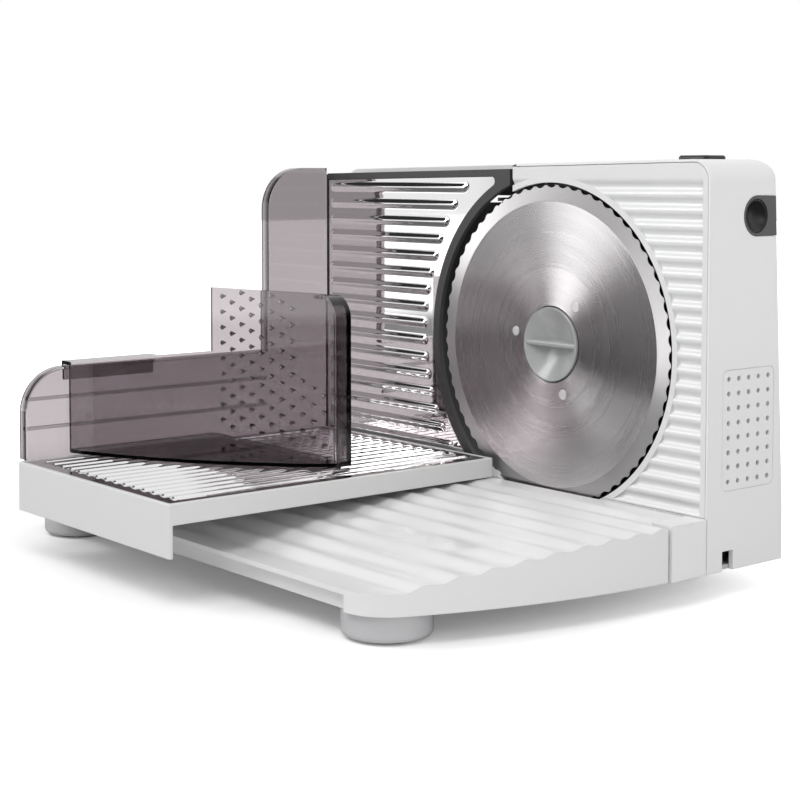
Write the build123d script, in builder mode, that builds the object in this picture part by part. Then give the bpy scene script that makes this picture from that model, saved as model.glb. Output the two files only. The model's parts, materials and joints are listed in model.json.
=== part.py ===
from build123d import *
from math import acos, atan2, cos, degrees, pi, radians, sin, sqrt, tan
import os

# A household deli meat slicer: a wide housing with the round blade on its face, a ribbed base in front, a
# carriage that runs along the blade, and a fence that sets how thick the slice is.
# All lengths are millimetres. Lengths named from an axis or a face are taken along X from the blade's
# axis, along Y from the housing's front face (away from the user is positive) and along Z from the worktop.

# Blade and its drive
blade_radius = 95.0
blade_height = 132.0
blade_thickness = 1.2
blade_proud = 0.2
blade_dish = 2.5
blade_flat_radius = 46.0
bevel_width = 9.5
scallop_count = 64
scallop_radius = 5.2
scallop_depth = 1.5
knob_radius = 22.3
knob_clearance = 0.3
knob_depth = 8.2
knob_bar = 5.0
knob_floor = 1.8
rivet_circle = 31.0
rivet_head = 3.0
rivet_shank = 1.9
rivet_first_angle = 49.0
rivet_height = 0.5

gear_module = 1.0
pressure_angle = 25.0
gear_addendum = 0.9
gear_dedendum = 1.15
gear_backlash = 0.3
blade_gear_teeth = 80
idler_pinion_teeth = 16
idler_wheel_teeth = 60
motor_pinion_teeth = 12
idler_angle = -35.0
motor_angle = -60.0
gear_width = 8.0
wheel_width = 6.0
gear_gap = 0.6
axle_radius = 5.0
axle_shoulder = 8.0
idler_pin_radius = 3.0
shaft_radius = 2.0
running_fit = 0.05
plate_thickness = 2.0
plate_corner = 8.0

motor_radius = 29.0
motor_length = 30.0
motor_wall = 1.5
motor_cap = 2.0
magnet_thickness = 4.0
air_gap = 0.6
bearing_radius = 5.0
bearing_length = 4.0
commutator_radius = 7.0

# Housing
housing_right = 122.75
housing_left = 222.0
housing_top = 241.8
top_slope = 0.015
housing_foot_depth = 64.25
housing_top_depth = 54.0
lean_start = 46.0
rear_corner = 9.0
underside = 15.4
corner_radius = 12.0
wall = 3.0
panel_thickness = 3.4
panel_gap = 0.3
panel_left = 33.0
panel_margin = 3.6
panel_top_margin = 9.0
panel_wave = 0.8
panel_wave_pitch = 8.7
wave_sink = 0.05
ring_width = 3.5
recess_margin = 1.5
motor_side = 46.0
well_floor_depth = 12.6
well_floor = 2.0
window_left = 188.0
bar_height = 21.8
block_left = 108.5
block_front = 28.3
block_gap = 1.2
seam_depth = 0.4
seam_width = 0.5
base_top = 45.9
notch_front = 12.8
notch_width = 9.2
notch_height = 11.0
notch_rib = 6.2
notch_rib_sink = 2.5
vent_rows = 8
vent_columns = 5
vent_pitch = 8.1
vent_column_pitch = 8.4
vent_hole = 1.4
vent_first_y = 17.0
vent_first_z = 64.6
vent_margin = 5.0
vent_gap = 0.1
boss_radius = 5.0
screw_radius = 1.6
screw_head = 3.0
screw_head_height = 1.8

# Controls
surround_drop = 31.4
surround_radius = 11.3
surround_y = 39.2
surround_depth = 9.0
lock_y = 38.6
lock_radius = 9.3
lock_travel = 2.5
lock_sink = 0.4
cup_radius = 8.4
cup_depth = 3.5
button_gap = 0.3
lock_length = 7.0
power_x = 89.0
power_y = 32.0
power_length = 22.0
power_width = 18.0
power_proud = 2.2
power_travel = 1.6
power_cap = 5.5
switch_length = 20.0
switch_width = 7.0
switch_height = 11.0
shelf_thickness = 2.5
plunger_radius = 1.5
plunger_room = 1.8
plunger_gap = 0.4

# Fence
fence_travel = 15.0
fence_gap = 6.0
fence_band = 6.0
fence_right = 35.3
fence_drop = 2.9
fence_bottom = 48.4
fence_flange = 3.0
fence_border = 4.3
fence_side = 2.0
fence_inner_corner = 3.0
fence_rim_depth = 12.0
fence_rim_wall = 2.5
fence_clearance = 0.5
fence_corner = 3.0
steel_inset = 0.3
steel_thickness = 1.1
rib_rise = 1.0
rib_width = 6.0
rib_pitch = 11.0
rib_first = 11.5
rib_end_gap = 6.0
rib_end_spread = 8.0
rod_radius = 4.0
rod_x = 205.0
rod_low = 78.0
rod_high = 205.0
rod_length = 33.0
bush_wall = 2.0
bush_length = 21.0
rack_height = 142.0
rack_bar = 8.0
rack_width = 8.0
rack_length = 37.0
rack_pinion_teeth = 14
rack_pinion_y = 29.0
dial_radius = 17.0
dial_thickness = 11.0
dial_flutes = 18
dial_flute_radius = 2.0
dial_shaft_radius = 3.0

# Base
base_left = 281.0
tray_front = 200.0
tray_back_height = 45.5
tray_front_height = 27.0
tray_back_margin = 16.0
tray_front_margin = 10.0
tray_wave = 0.9
tray_wave_pitch = 17.4
tray_gap = 2.2
tray_skin = 3.2
tray_right = 121.4
tray_bulge_x = 111.5
tray_bulge_y = 103.0
tray_nose_x = 77.6
tray_corner = 28.0
tray_left_corner = 6.0
lip_overhang = 4.2
lip_thickness = 3.0
lip_right = 59.0
plate_gap = 0.3
bottom_plate = 2.5

foot_radius = 23.85
foot_front_x = 61.1
foot_front_y = 173.6
foot_left_x = 256.9
foot_rear_y = 33.0
foot_rear_left_x = 196.0
foot_edge = 3.0
foot_lift = 1.2
pad_radius = 18.0
pad_height = 4.0
foot_screw_radius = 2.0
foot_screw_head = 4.0
foot_screw_length = 18.0

# Carriage
carriage_left = 220.2
carriage_right = 45.5
carriage_front = 236.9
carriage_back = 3.4
carriage_top = 58.1
carriage_bottom = 46.4
carriage_skirt = 28.5
carriage_wall = 2.5
carriage_rim = 2.4
carriage_corner = 1.5
deck_thickness = 2.6
table_steel = 1.5
table_rib_pitch = 10.5
table_rib_width = 5.4
table_rib_rise = 1.2
table_rib_margin = 7.0
table_rib_taper = 35.0
glide_left = 205.0
glide_right = 128.0
glide_web = 5.6
glide_finger = 3.0
glide_shoulder = 8.0
glide_clearance = 0.3
rear_glide_radius = 5.0
rear_glide_left = 200.0
rear_glide_right = 66.0
rear_glide_y = 14.5

guard_thickness = 2.5
guard_front = 231.4
guard_low_top = 113.9
guard_top = 237.5
guard_step = 50.0
guard_back = 0.8
guard_corner = 28.0
guard_top_corner = 28.0
guard_flange = 5.6
guard_flange_wall = 1.8
guard_rib_low = 76.0
guard_rib_high = 94.0
guard_rib = 2.0
guard_screw_spread = 0.36

# Pusher
pusher_y = 94.7
pusher_thickness = 2.5
pusher_right = 71.0
pusher_top = 161.6
pusher_rise = 2.8
pusher_bottom = 60.0
pusher_corner = 14.0
pusher_rim = 8.6
pusher_side_front = 202.0
pusher_gap = 0.8
hook_front = 200.8
hook_back = 137.0
hook_drop = 12.0
gusset_bulge = 12.0
spike_columns = 12
spike_tall_columns = 8
spike_pitch_x = 11.1
spike_pitch_z = 10.2
spike_rows = 10
spike_skipped_rows = 5
spike_base = 2.6
spike_height = 3.6
spike_margin_x = 11.0
spike_margin_z = 5.4

# Origin: middle of the footprint, on the worktop
blade_x = (base_left - housing_right) / 2
face_y = (carriage_front - housing_foot_depth) / 2


def upright(depth):
    """A plane facing the user, this far behind the housing's face: X along the blade, Y up."""
    return Plane(origin=(blade_x, face_y + depth, 0), x_dir=(1, 0, 0), z_dir=(0, -1, 0))


def level(height):
    """A horizontal plane: X from the blade's axis, Y from the housing's face."""
    return Plane(origin=(blade_x, face_y, height), x_dir=(1, 0, 0), z_dir=(0, 0, 1))


def across(x):
    """A plane facing right, this far right of the blade's axis: X away from the user, Y up."""
    return Plane(origin=(blade_x + x, face_y, 0), x_dir=(0, 1, 0), z_dir=(1, 0, 0))


def span(low, high):
    """Middle and length of a stretch."""
    return (low + high) / 2, high - low


def block(x, y, z, mode=Mode.ADD):
    """A box from its three stretches, in the part's own lengths."""
    mid_x, long_x = span(*x)
    mid_y, long_y = span(*y)
    mid_z, long_z = span(*z)
    with Locations((blade_x + mid_x, face_y + mid_y, mid_z)):
        return Box(long_x, long_y, long_z, mode=mode)


def peg(x, z, radius, near, far, mode=Mode.ADD):
    """A cylinder along Y, from near to far behind the housing's face."""
    mid_y, long_y = span(near, far)
    with Locations((blade_x + x, face_y + mid_y, z)):
        return Cylinder(radius, long_y, rotation=(90, 0, 0), mode=mode)


def post(x, y, radius, low, high, mode=Mode.ADD):
    """A vertical cylinder."""
    mid_z, long_z = span(low, high)
    with Locations((blade_x + x, face_y + y, mid_z)):
        return Cylinder(radius, long_z, mode=mode)


def spindle(y, z, radius, left, right, mode=Mode.ADD):
    """A cylinder along X."""
    mid_x, long_x = span(left, right)
    with Locations((blade_x + mid_x, face_y + y, z)):
        return Cylinder(radius, long_x, rotation=(0, 90, 0), mode=mode)


def top_at(x):
    """Height of the housing's top edge, which falls gently to the left."""
    return housing_top - top_slope * (housing_right - x)


def rear_face(height):
    """How deep the housing is at a height: it leans forward from the foot to the top."""
    lean = (housing_foot_depth - housing_top_depth) / (housing_top - lean_start)
    return housing_foot_depth - lean * max(0.0, height - lean_start)


def involute(angle):
    return tan(angle) - angle


def tooth(teeth):
    """Outline of one involute tooth, pointing along X, thinned by its share of the backlash."""
    pitch_radius = gear_module * teeth / 2
    base_radius = pitch_radius * cos(radians(pressure_angle))
    root_radius = pitch_radius - gear_dedendum * gear_module
    tip_radius = pitch_radius + gear_addendum * gear_module
    at_pitch = pi / (2 * teeth) - gear_backlash / (4 * pitch_radius)
    flank = []
    for radius in (root_radius - 0.3, max(root_radius, base_radius), pitch_radius, tip_radius):
        turn = acos(min(1.0, base_radius / max(radius, base_radius)))
        half = at_pitch + involute(radians(pressure_angle)) - involute(turn)
        flank.append((radius * cos(half), radius * sin(half)))
    return flank + [(x, -y) for x, y in reversed(flank)]


def gear_face(x, z, teeth, turn):
    """A whole spur gear's outline in the current sketch, turned by an angle in degrees."""
    root_radius = gear_module * teeth / 2 - gear_dedendum * gear_module
    with Locations((x, z)):
        Circle(root_radius)
    with Locations(Location((x, z, 0), (0, 0, 1), turn)):
        with PolarLocations(0, teeth):
            Polygon(*tooth(teeth), align=None)


# Where the gear train's axes lie, in the plane of the blade
idler_distance = gear_module * (blade_gear_teeth + idler_pinion_teeth) / 2
idler_x = idler_distance * cos(radians(idler_angle))
idler_z = blade_height + idler_distance * sin(radians(idler_angle))
motor_distance = gear_module * (idler_wheel_teeth + motor_pinion_teeth) / 2
motor_x = idler_x + motor_distance * cos(radians(motor_angle))
motor_z = idler_z + motor_distance * sin(radians(motor_angle))

# Layers behind the blade, from the face inwards
well_back = well_floor_depth + well_floor
gear_teeth_front = well_floor_depth - gear_gap - gear_width
wheel_front = well_back + gear_gap
plate_front = wheel_front + wheel_width + gear_gap
plate_back = plate_front + plate_thickness
motor_back = plate_back + motor_length
recess_radius = blade_radius + recess_margin
arc_inner = blade_radius + fence_gap
arc_outer = arc_inner + fence_band
bar_front = fence_flange + fence_travel + fence_clearance
cavity_front = bar_front + wall
bar_bottom = housing_top - bar_height
cavity_top = bar_bottom - wall

# ---------------------------------------------------------------- housing


# the housing from the side, an upright face and a leaning back, and from the front, with a sloping top
with BuildSketch(Plane.XY) as side_view:
    Polygon(
        (0, underside),
        (housing_foot_depth, underside),
        (housing_foot_depth, lean_start),
        (housing_top_depth, housing_top),
        (0, housing_top),
        align=None,
    )
    fillet(side_view.vertices().sort_by_distance((housing_top_depth, housing_top, 0))[0], rear_corner)

with BuildSketch(Plane.XY) as front_view:
    Polygon(
        (-housing_left, underside),
        (housing_right, underside),
        (housing_right, top_at(housing_right)),
        (-housing_left, top_at(-housing_left)),
        align=None,
    )
    fillet(front_view.vertices().filter_by_position(Axis.Y, base_top, housing_top), corner_radius)


vent_width = (vent_columns - 1) * vent_column_pitch + 2 * vent_margin
vent_tall = (vent_rows - 1) * vent_pitch + 2 * vent_margin
vent_mid_y = vent_first_y - vent_margin + vent_width / 2
vent_mid_z = vent_first_z - vent_margin + vent_tall / 2
cavity_right = housing_right - wall
plate_bosses = (
    (-motor_side + wall + plate_corner, blade_height + idler_distance * 0.6),
    (motor_x + motor_radius + plate_corner, blade_height + idler_distance * 0.6),
    (motor_x + motor_radius + plate_corner, motor_z - motor_radius + plate_corner),
    (-motor_side + wall + plate_corner, motor_z),
)
surround_height = housing_top - surround_drop
power_top = housing_top + power_proud
shelf_top = power_top - power_cap - power_travel - plunger_room - switch_height
lock_face = housing_right - lock_sink
lock_switch_right = lock_face - lock_length - lock_travel - plunger_room
lock_shelf_top = surround_height - switch_width / 2

# the space inside: behind the panel, behind the well, and up behind the bar
with BuildPart() as housing_hollow:
    block((-panel_left + wall, cavity_right), (0, cavity_front), (base_top + wall, housing_top))
    block(
        (-motor_side + wall, cavity_right),
        (well_floor_depth, housing_foot_depth),
        (base_top - wall - 1, cavity_top),
    )
    block(
        (-panel_left + wall, cavity_right),
        (cavity_front - 1, housing_foot_depth),
        (cavity_top - 1, housing_top),
    )
    with BuildSketch(upright(0)):
        offset(front_view.sketch_local, amount=-wall)
    extrude(amount=-housing_foot_depth, mode=Mode.INTERSECT)
    with BuildSketch(across(-housing_left)):
        offset(side_view.sketch_local, amount=-wall)
    extrude(amount=housing_left + housing_right, mode=Mode.INTERSECT)

with BuildPart() as housing_shell:
    with BuildSketch(across(-housing_left)):
        add(side_view.sketch_local)
    extrude(amount=housing_left + housing_right)
    with BuildSketch(upright(0)):
        add(front_view.sketch_local)
    extrude(amount=-housing_foot_depth, mode=Mode.INTERSECT)
    # corner block that closes the base's right end
    block((block_left, housing_right), (-block_front, wall), (underside, base_top))
    block(
        (housing_right - seam_depth, housing_right + 1),
        (-seam_width, 0),
        (underside - 1, base_top + 1),
        mode=Mode.SUBTRACT,
    )
    # slice window behind the fence, and the step that the fence moves back into
    block(
        (-window_left, -motor_side),
        (-1, housing_foot_depth + 1),
        (base_top, bar_bottom),
        mode=Mode.SUBTRACT,
    )
    block(
        (-housing_left - 1, -panel_left),
        (-1, bar_front),
        (bar_bottom - 1, housing_top + 1),
        mode=Mode.SUBTRACT,
    )
    block(
        (-housing_left - 1, -window_left + 1),
        (-1, bar_front),
        (base_top, housing_top),
        mode=Mode.SUBTRACT,
    )
    # seat of the front panel, round well of the blade, and the motor compartment
    with BuildSketch(upright(0)):
        offset(front_view.sketch_local, amount=-wall / 2)
        block_mid, block_long = span(-panel_left, housing_right)
        with Locations((block_mid, (base_top + housing_top) / 2)):
            Rectangle(block_long, housing_top - base_top, mode=Mode.INTERSECT)
    extrude(amount=-panel_thickness, mode=Mode.SUBTRACT)
    peg(0, blade_height, recess_radius, -1, well_back, mode=Mode.SUBTRACT)
    add(housing_hollow.part, mode=Mode.SUBTRACT)
    # hollow foot of the housing, closed by its bottom plate
    block(
        (-housing_left + wall, housing_right - wall),
        (wall, housing_foot_depth - wall),
        (underside - 1, base_top - wall),
        mode=Mode.SUBTRACT,
    )
    block(
        (block_left + wall, housing_right - wall),
        (-block_front + wall, wall + 1),
        (underside - 1, base_top - wall),
        mode=Mode.SUBTRACT,
    )
    # cord notch at the foot of the right end
    block(
        (housing_right - wall - 1, housing_right + 1),
        (notch_front, notch_front + notch_width),
        (underside - 1, underside + notch_height),
        mode=Mode.SUBTRACT,
    )
    block(
        (cavity_right - notch_rib_sink - wall, cavity_right - notch_rib_sink),
        (wall / 2, notch_front + notch_rib),
        (underside + bottom_plate + panel_gap, base_top - wall / 2),
    )
    # opening for the vent panel
    with BuildSketch(across(cavity_right - 1)):
        with Locations((vent_mid_y, vent_mid_z)):
            RectangleRounded(vent_width + vent_gap, vent_tall + vent_gap, 4)
    extrude(amount=wall + 2, mode=Mode.SUBTRACT)
    # bosses for the gear plate, and shelves for the two switches
    for boss_x, boss_z in plate_bosses:
        peg(boss_x, boss_z, boss_radius, plate_back, rear_face(boss_z) - wall / 2)
        peg(boss_x, boss_z, screw_radius, plate_back - 1, plate_back + 10, mode=Mode.SUBTRACT)
    block(
        (power_x - switch_length / 2, power_x + switch_length / 2),
        (power_y - switch_width / 2, rear_face(shelf_top) - wall / 2),
        (shelf_top - shelf_thickness, shelf_top),
    )
    block(
        (lock_switch_right - switch_height, lock_switch_right),
        (lock_y - switch_length / 2, rear_face(lock_shelf_top) - wall / 2),
        (lock_shelf_top - shelf_thickness, lock_shelf_top),
    )
    # holes for the two buttons
    with BuildSketch(level(housing_top - wall - 1)):
        with Locations((power_x, power_y)):
            RectangleRounded(power_length + 2 * button_gap, power_width + 2 * button_gap, 3)
    extrude(amount=wall + 2, mode=Mode.SUBTRACT)
    with BuildSketch(across(housing_right - surround_depth)):
        with Locations((surround_y, surround_height)):
            Circle(surround_radius)
            with Locations((housing_foot_depth / 2, 0)):
                Rectangle(housing_foot_depth, 2 * surround_radius)
    extrude(amount=surround_depth + 1, mode=Mode.SUBTRACT)
    # guide bores and the rack's pocket in the left post
    for rod_z in (rod_low, rod_high):
        peg(-rod_x, rod_z, rod_radius + bush_wall, bar_front - 1, bar_front + bush_length, mode=Mode.SUBTRACT)
        peg(
            -rod_x,
            rod_z,
            rod_radius + fence_clearance,
            bar_front,
            fence_flange + rod_length + fence_travel + fence_clearance,
            mode=Mode.SUBTRACT,
        )
    block(
        (-rod_x - rack_width / 2 - fence_clearance, -rod_x + rack_width / 2 + fence_clearance),
        (bar_front - 1, fence_flange + rack_length + fence_travel + fence_clearance),
        (
            rack_height - gear_module * (rack_pinion_teeth + gear_addendum + 1),
            rack_height + rack_bar + fence_clearance,
        ),
        mode=Mode.SUBTRACT,
    )
    spindle(
        rack_pinion_y,
        rack_height - gear_module * rack_pinion_teeth / 2,
        dial_shaft_radius + running_fit,
        -housing_left - 1,
        -rod_x,
        mode=Mode.SUBTRACT,
    )
    # bosses for the feet, each with a rib to the front wall
    boss_top = motor_z - motor_radius - wall / 2
    for foot_x in (foot_front_x, -foot_rear_left_x):
        block(
            (foot_x - wall / 2, foot_x + wall / 2),
            (wall / 2, foot_rear_y),
            (underside + bottom_plate, boss_top),
        )
        post(foot_x, foot_rear_y, boss_radius, underside + bottom_plate, boss_top)
        post(foot_x, foot_rear_y, foot_screw_radius, underside, base_top - wall, mode=Mode.SUBTRACT)
housing_shell.part.label = "housing_shell"

panel_low = base_top + panel_gap
wave_high = top_at(housing_right) - wall / 2 - panel_gap - panel_top_margin
wave_count = round((wave_high - panel_low) / panel_wave_pitch)
half_wave = (wave_high - panel_low) / (2 * wave_count)
wave_mid = wave_sink + panel_wave

# waves pressed into the panel's face from a crest at the top down, all but a flat margin and a flat ring
with BuildPart() as panel_waves:
    with BuildSketch(across(-panel_left)):
        with BuildLine():
            for step in range(2 * wave_count + 1):
                low = panel_low + half_wave * (step - 0.5)
                swing = panel_wave if step % 2 else -panel_wave
                ThreePointArc(
                    (wave_mid, low), (wave_mid + swing, low + half_wave / 2), (wave_mid, low + half_wave)
                )
            Polyline(
                (wave_mid, wave_high + half_wave / 2),
                (-1, wave_high + half_wave / 2),
                (-1, panel_low - half_wave / 2),
                (wave_mid, panel_low - half_wave / 2),
            )
        make_face()
        with Locations((0, (wave_high + underside) / 2)):
            Rectangle(panel_thickness * 2, wave_high - underside, mode=Mode.INTERSECT)
    extrude(amount=panel_left + housing_right - wall / 2 - panel_gap - panel_margin)
    peg(0, blade_height, recess_radius + ring_width, -2, panel_thickness, mode=Mode.SUBTRACT)

with BuildPart() as front_panel:
    with BuildSketch(upright(0)):
        offset(front_view.sketch_local, amount=-wall / 2 - panel_gap)
        view_mid, view_long = span(-panel_left + panel_gap, housing_right)
        with Locations((view_mid, (panel_low + housing_top) / 2)):
            Rectangle(view_long, housing_top - panel_low, mode=Mode.INTERSECT)
        with Locations((0, blade_height)):
            Circle(recess_radius, mode=Mode.SUBTRACT)
    extrude(amount=-panel_thickness)
    add(panel_waves.part, mode=Mode.SUBTRACT)
front_panel.part.label = "front_panel"

with BuildPart() as blade_well:
    peg(0, blade_height, recess_radius - panel_gap, panel_thickness + panel_gap, well_back)
    peg(0, blade_height, recess_radius - panel_gap - wall / 2, 0, well_floor_depth, mode=Mode.SUBTRACT)
    peg(0, blade_height, axle_shoulder + panel_gap, 0, well_back + 1, mode=Mode.SUBTRACT)
    idler_room = gear_module * idler_pinion_teeth / 2 + gear_gap + 2
    peg(idler_x, idler_z, idler_room, 0, well_back + 1, mode=Mode.SUBTRACT)
    block(
        (-recess_radius - 1, -motor_side),
        (0, housing_foot_depth),
        (0, housing_top),
        mode=Mode.SUBTRACT,
    )
blade_well.part.label = "blade_well"

with BuildPart() as vent_panel:
    with BuildSketch(across(cavity_right)):
        with Locations((vent_mid_y, vent_mid_z)):
            RectangleRounded(vent_width - vent_gap, vent_tall - vent_gap, 4 - vent_gap)
            with GridLocations(vent_column_pitch, vent_pitch, vent_columns, vent_rows):
                Circle(vent_hole, mode=Mode.SUBTRACT)
    extrude(amount=wall - 0.1)
vent_panel.part.label = "vent_panel"

# ---------------------------------------------------------------- gear plate and pins

with BuildPart() as gear_plate:
    plate_x = [x for x, z in plate_bosses]
    plate_z = [z for x, z in plate_bosses]
    with BuildSketch(upright(plate_front)):
        plate_mid_x, plate_long_x = span(min(plate_x) - plate_corner, max(plate_x) + plate_corner)
        plate_mid_z, plate_long_z = span(min(plate_z) - plate_corner, max(plate_z) + plate_corner)
        with Locations((plate_mid_x, plate_mid_z)):
            RectangleRounded(plate_long_x, plate_long_z, plate_corner)
        with Locations(*plate_bosses):
            Circle(screw_radius + panel_gap / 2, mode=Mode.SUBTRACT)
        with Locations((0, blade_height)):
            Circle(axle_radius, mode=Mode.SUBTRACT)
        with Locations((idler_x, idler_z)):
            Circle(idler_pin_radius, mode=Mode.SUBTRACT)
        with Locations((motor_x, motor_z)):
            Circle(bearing_radius + panel_gap, mode=Mode.SUBTRACT)
    extrude(amount=-plate_thickness)
gear_plate.part.label = "gear_plate"

with BuildPart() as plate_screws:
    for boss_x, boss_z in plate_bosses:
        peg(boss_x, boss_z, screw_head, plate_front - screw_head_height, plate_front)
        peg(boss_x, boss_z, screw_radius, plate_front, plate_back + 8)
plate_screws.part.label = "plate_screws"

knob_back = knob_depth - blade_proud
axle_front = knob_back + knob_clearance
with BuildPart() as blade_axle:
    peg(0, blade_height, axle_radius, axle_front, plate_back)
    peg(0, blade_height, axle_shoulder, well_floor_depth, plate_front)
    peg(0, blade_height, axle_radius - wall / 2 - 0.5, 0, plate_front - 1, mode=Mode.SUBTRACT)
blade_axle.part.label = "blade_axle"

with BuildPart() as idler_pin:
    peg(idler_x, idler_z, idler_pin_radius, gear_teeth_front - gear_gap, plate_back)
idler_pin.part.label = "idler_pin"

# ---------------------------------------------------------------- blade

blade_back = blade_thickness - blade_proud
with BuildPart() as blade_disc:
    blade_profile = (
        (blade_dish - blade_thickness, knob_radius + knob_clearance),
        (blade_dish, knob_radius + knob_clearance),
        (blade_dish, blade_flat_radius),
        (blade_back, blade_radius - bevel_width - 2),
        (blade_back, blade_radius),
        (blade_back - 0.2, blade_radius),
        (-blade_proud, blade_radius - bevel_width),
        (blade_dish - blade_thickness, blade_flat_radius),
    )
    with BuildSketch(across(0)):
        Polygon(*[(y, blade_height + radius) for y, radius in blade_profile], align=None)
    revolve(axis=Axis((blade_x, face_y, blade_height), (0, 1, 0)))
    with BuildSketch(upright(-blade_proud - 1)):
        with Locations((0, blade_height)):
            with PolarLocations(blade_radius + scallop_radius - scallop_depth, scallop_count):
                Circle(scallop_radius)
    extrude(amount=-blade_thickness - 2, mode=Mode.SUBTRACT)
    for turn in range(3):
        angle = radians(rivet_first_angle + 120 * turn)
        peg(
            rivet_circle * cos(angle),
            blade_height + rivet_circle * sin(angle),
            rivet_shank + running_fit,
            -blade_proud - 1,
            blade_dish + 1,
            mode=Mode.SUBTRACT,
        )
blade_disc.part.label = "blade_disc"

with BuildPart() as blade_gear:
    pocket_floor = axle_front
    with BuildSketch(upright(gear_teeth_front)):
        gear_face(0, blade_height, blade_gear_teeth, idler_angle)
    extrude(amount=-gear_width)
    gear_root = gear_module * blade_gear_teeth / 2 - gear_dedendum * gear_module
    peg(0, blade_height, gear_root - 1, blade_dish, gear_teeth_front)
    peg(0, blade_height, knob_radius + knob_clearance, blade_dish, pocket_floor, mode=Mode.SUBTRACT)
    peg(0, blade_height, axle_radius + running_fit, pocket_floor - 1, well_floor_depth, mode=Mode.SUBTRACT)
    for turn in range(3):
        angle = radians(rivet_first_angle + 120 * turn)
        rivet_x, rivet_z = rivet_circle * cos(angle), blade_height + rivet_circle * sin(angle)
        peg(rivet_x, rivet_z, rivet_shank + running_fit, blade_dish, well_floor_depth, mode=Mode.SUBTRACT)
blade_gear.part.label = "blade_gear"

with BuildPart() as blade_rivets:
    web_front = blade_dish - blade_thickness
    for turn in range(3):
        angle = radians(rivet_first_angle + 120 * turn)
        rivet_x, rivet_z = rivet_circle * cos(angle), blade_height + rivet_circle * sin(angle)
        peg(rivet_x, rivet_z, rivet_head, web_front - rivet_height, web_front)
        peg(rivet_x, rivet_z, rivet_shank, web_front, gear_teeth_front + gear_width)
    chamfer(blade_rivets.edges().filter_by(GeomType.CIRCLE).group_by(Axis.Y)[0], rivet_height * 0.6)
blade_rivets.part.label = "blade_rivets"

with BuildPart() as blade_lock_knob:
    peg(0, blade_height, knob_radius, -blade_proud, knob_back)
    with BuildSketch(upright(-blade_proud)):
        with Locations((0, blade_height)):
            Circle(knob_radius - wall / 2)
            Rectangle(2 * knob_radius, knob_bar, mode=Mode.SUBTRACT)
    extrude(amount=-(knob_depth - knob_floor), taper=12, mode=Mode.SUBTRACT)
    peg(0, blade_height, axle_radius - wall / 2 - 0.5 - 2 * running_fit, knob_back, plate_front - 4)
    fillet(blade_lock_knob.edges().filter_by(GeomType.CIRCLE).group_by(Axis.Y)[0], 0.5)
blade_lock_knob.part.label = "blade_lock_knob"

with BuildPart() as idler_gear:
    with BuildSketch(upright(gear_teeth_front)):
        gear_face(idler_x, idler_z, idler_pinion_teeth, idler_angle + 180 + 180 / idler_pinion_teeth)
    extrude(amount=-gear_width)
    neck = gear_module * idler_pinion_teeth / 2 - gear_dedendum * gear_module
    peg(idler_x, idler_z, neck, gear_teeth_front + gear_width, wheel_front)
    with BuildSketch(upright(wheel_front)):
        gear_face(idler_x, idler_z, idler_wheel_teeth, motor_angle)
    extrude(amount=-wheel_width)
    peg(idler_x, idler_z, idler_pin_radius + running_fit, 0, plate_back, mode=Mode.SUBTRACT)
idler_gear.part.label = "idler_gear"

# ---------------------------------------------------------------- motor

with BuildPart() as drive_pinion:
    with BuildSketch(upright(wheel_front)):
        gear_face(motor_x, motor_z, motor_pinion_teeth, motor_angle + 180 + 180 / motor_pinion_teeth)
        with Locations((motor_x, motor_z)):
            Circle(shaft_radius, mode=Mode.SUBTRACT)
    extrude(amount=-wheel_width)
drive_pinion.part.label = "drive_pinion"

with BuildPart() as motor_can:
    peg(motor_x, motor_z, motor_radius, plate_back, motor_back)
    peg(motor_x, motor_z, motor_radius - motor_wall, plate_back + motor_wall, motor_back, mode=Mode.SUBTRACT)
    peg(motor_x, motor_z, bearing_radius, 0, motor_back, mode=Mode.SUBTRACT)
motor_can.part.label = "motor_can"

with BuildPart() as motor_end_cap:
    peg(motor_x, motor_z, motor_radius, motor_back, motor_back + motor_cap)
    peg(motor_x, motor_z, bearing_radius, motor_back - 1, motor_back + motor_cap + 1, mode=Mode.SUBTRACT)
motor_end_cap.part.label = "motor_end_cap"

front_bearing = plate_back - plate_thickness / 2
rear_bearing = motor_back + motor_cap - bearing_length
with BuildPart() as motor_bearings:
    for bearing_front in (front_bearing, rear_bearing):
        peg(motor_x, motor_z, bearing_radius, bearing_front, bearing_front + bearing_length)
    peg(motor_x, motor_z, shaft_radius + running_fit, 0, motor_back + motor_cap + 1, mode=Mode.SUBTRACT)
motor_bearings.part.label = "motor_bearings"

magnet_outer = motor_radius - motor_wall
with BuildPart() as motor_magnets:
    magnet_front, magnet_back = plate_back + motor_wall + 3, motor_back - 4
    peg(motor_x, motor_z, magnet_outer, magnet_front, magnet_back)
    peg(motor_x, motor_z, magnet_outer - magnet_thickness, 0, motor_back, mode=Mode.SUBTRACT)
    block(
        (motor_x - motor_radius / 3, motor_x + motor_radius / 3),
        (0, motor_back),
        (motor_z - motor_radius, motor_z + motor_radius),
        mode=Mode.SUBTRACT,
    )
motor_magnets.part.label = "motor_magnets"

with BuildPart() as motor_rotor:
    core_front = front_bearing + bearing_length + 1
    core_back = rear_bearing - 8
    core_radius = magnet_outer - magnet_thickness - air_gap
    peg(motor_x, motor_z, core_radius, core_front, core_back)
    peg(motor_x, motor_z, commutator_radius, core_back, rear_bearing - 1)
    peg(motor_x, motor_z, shaft_radius, wheel_front, motor_back + motor_cap)
    with BuildSketch(upright(core_front)):
        with Locations((motor_x, motor_z)):
            with PolarLocations(core_radius, 8):
                Rectangle(core_radius / 2, 2)
    extrude(amount=-(core_back - core_front), mode=Mode.SUBTRACT)
motor_rotor.part.label = "motor_rotor"

# ---------------------------------------------------------------- buttons and switches

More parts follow.
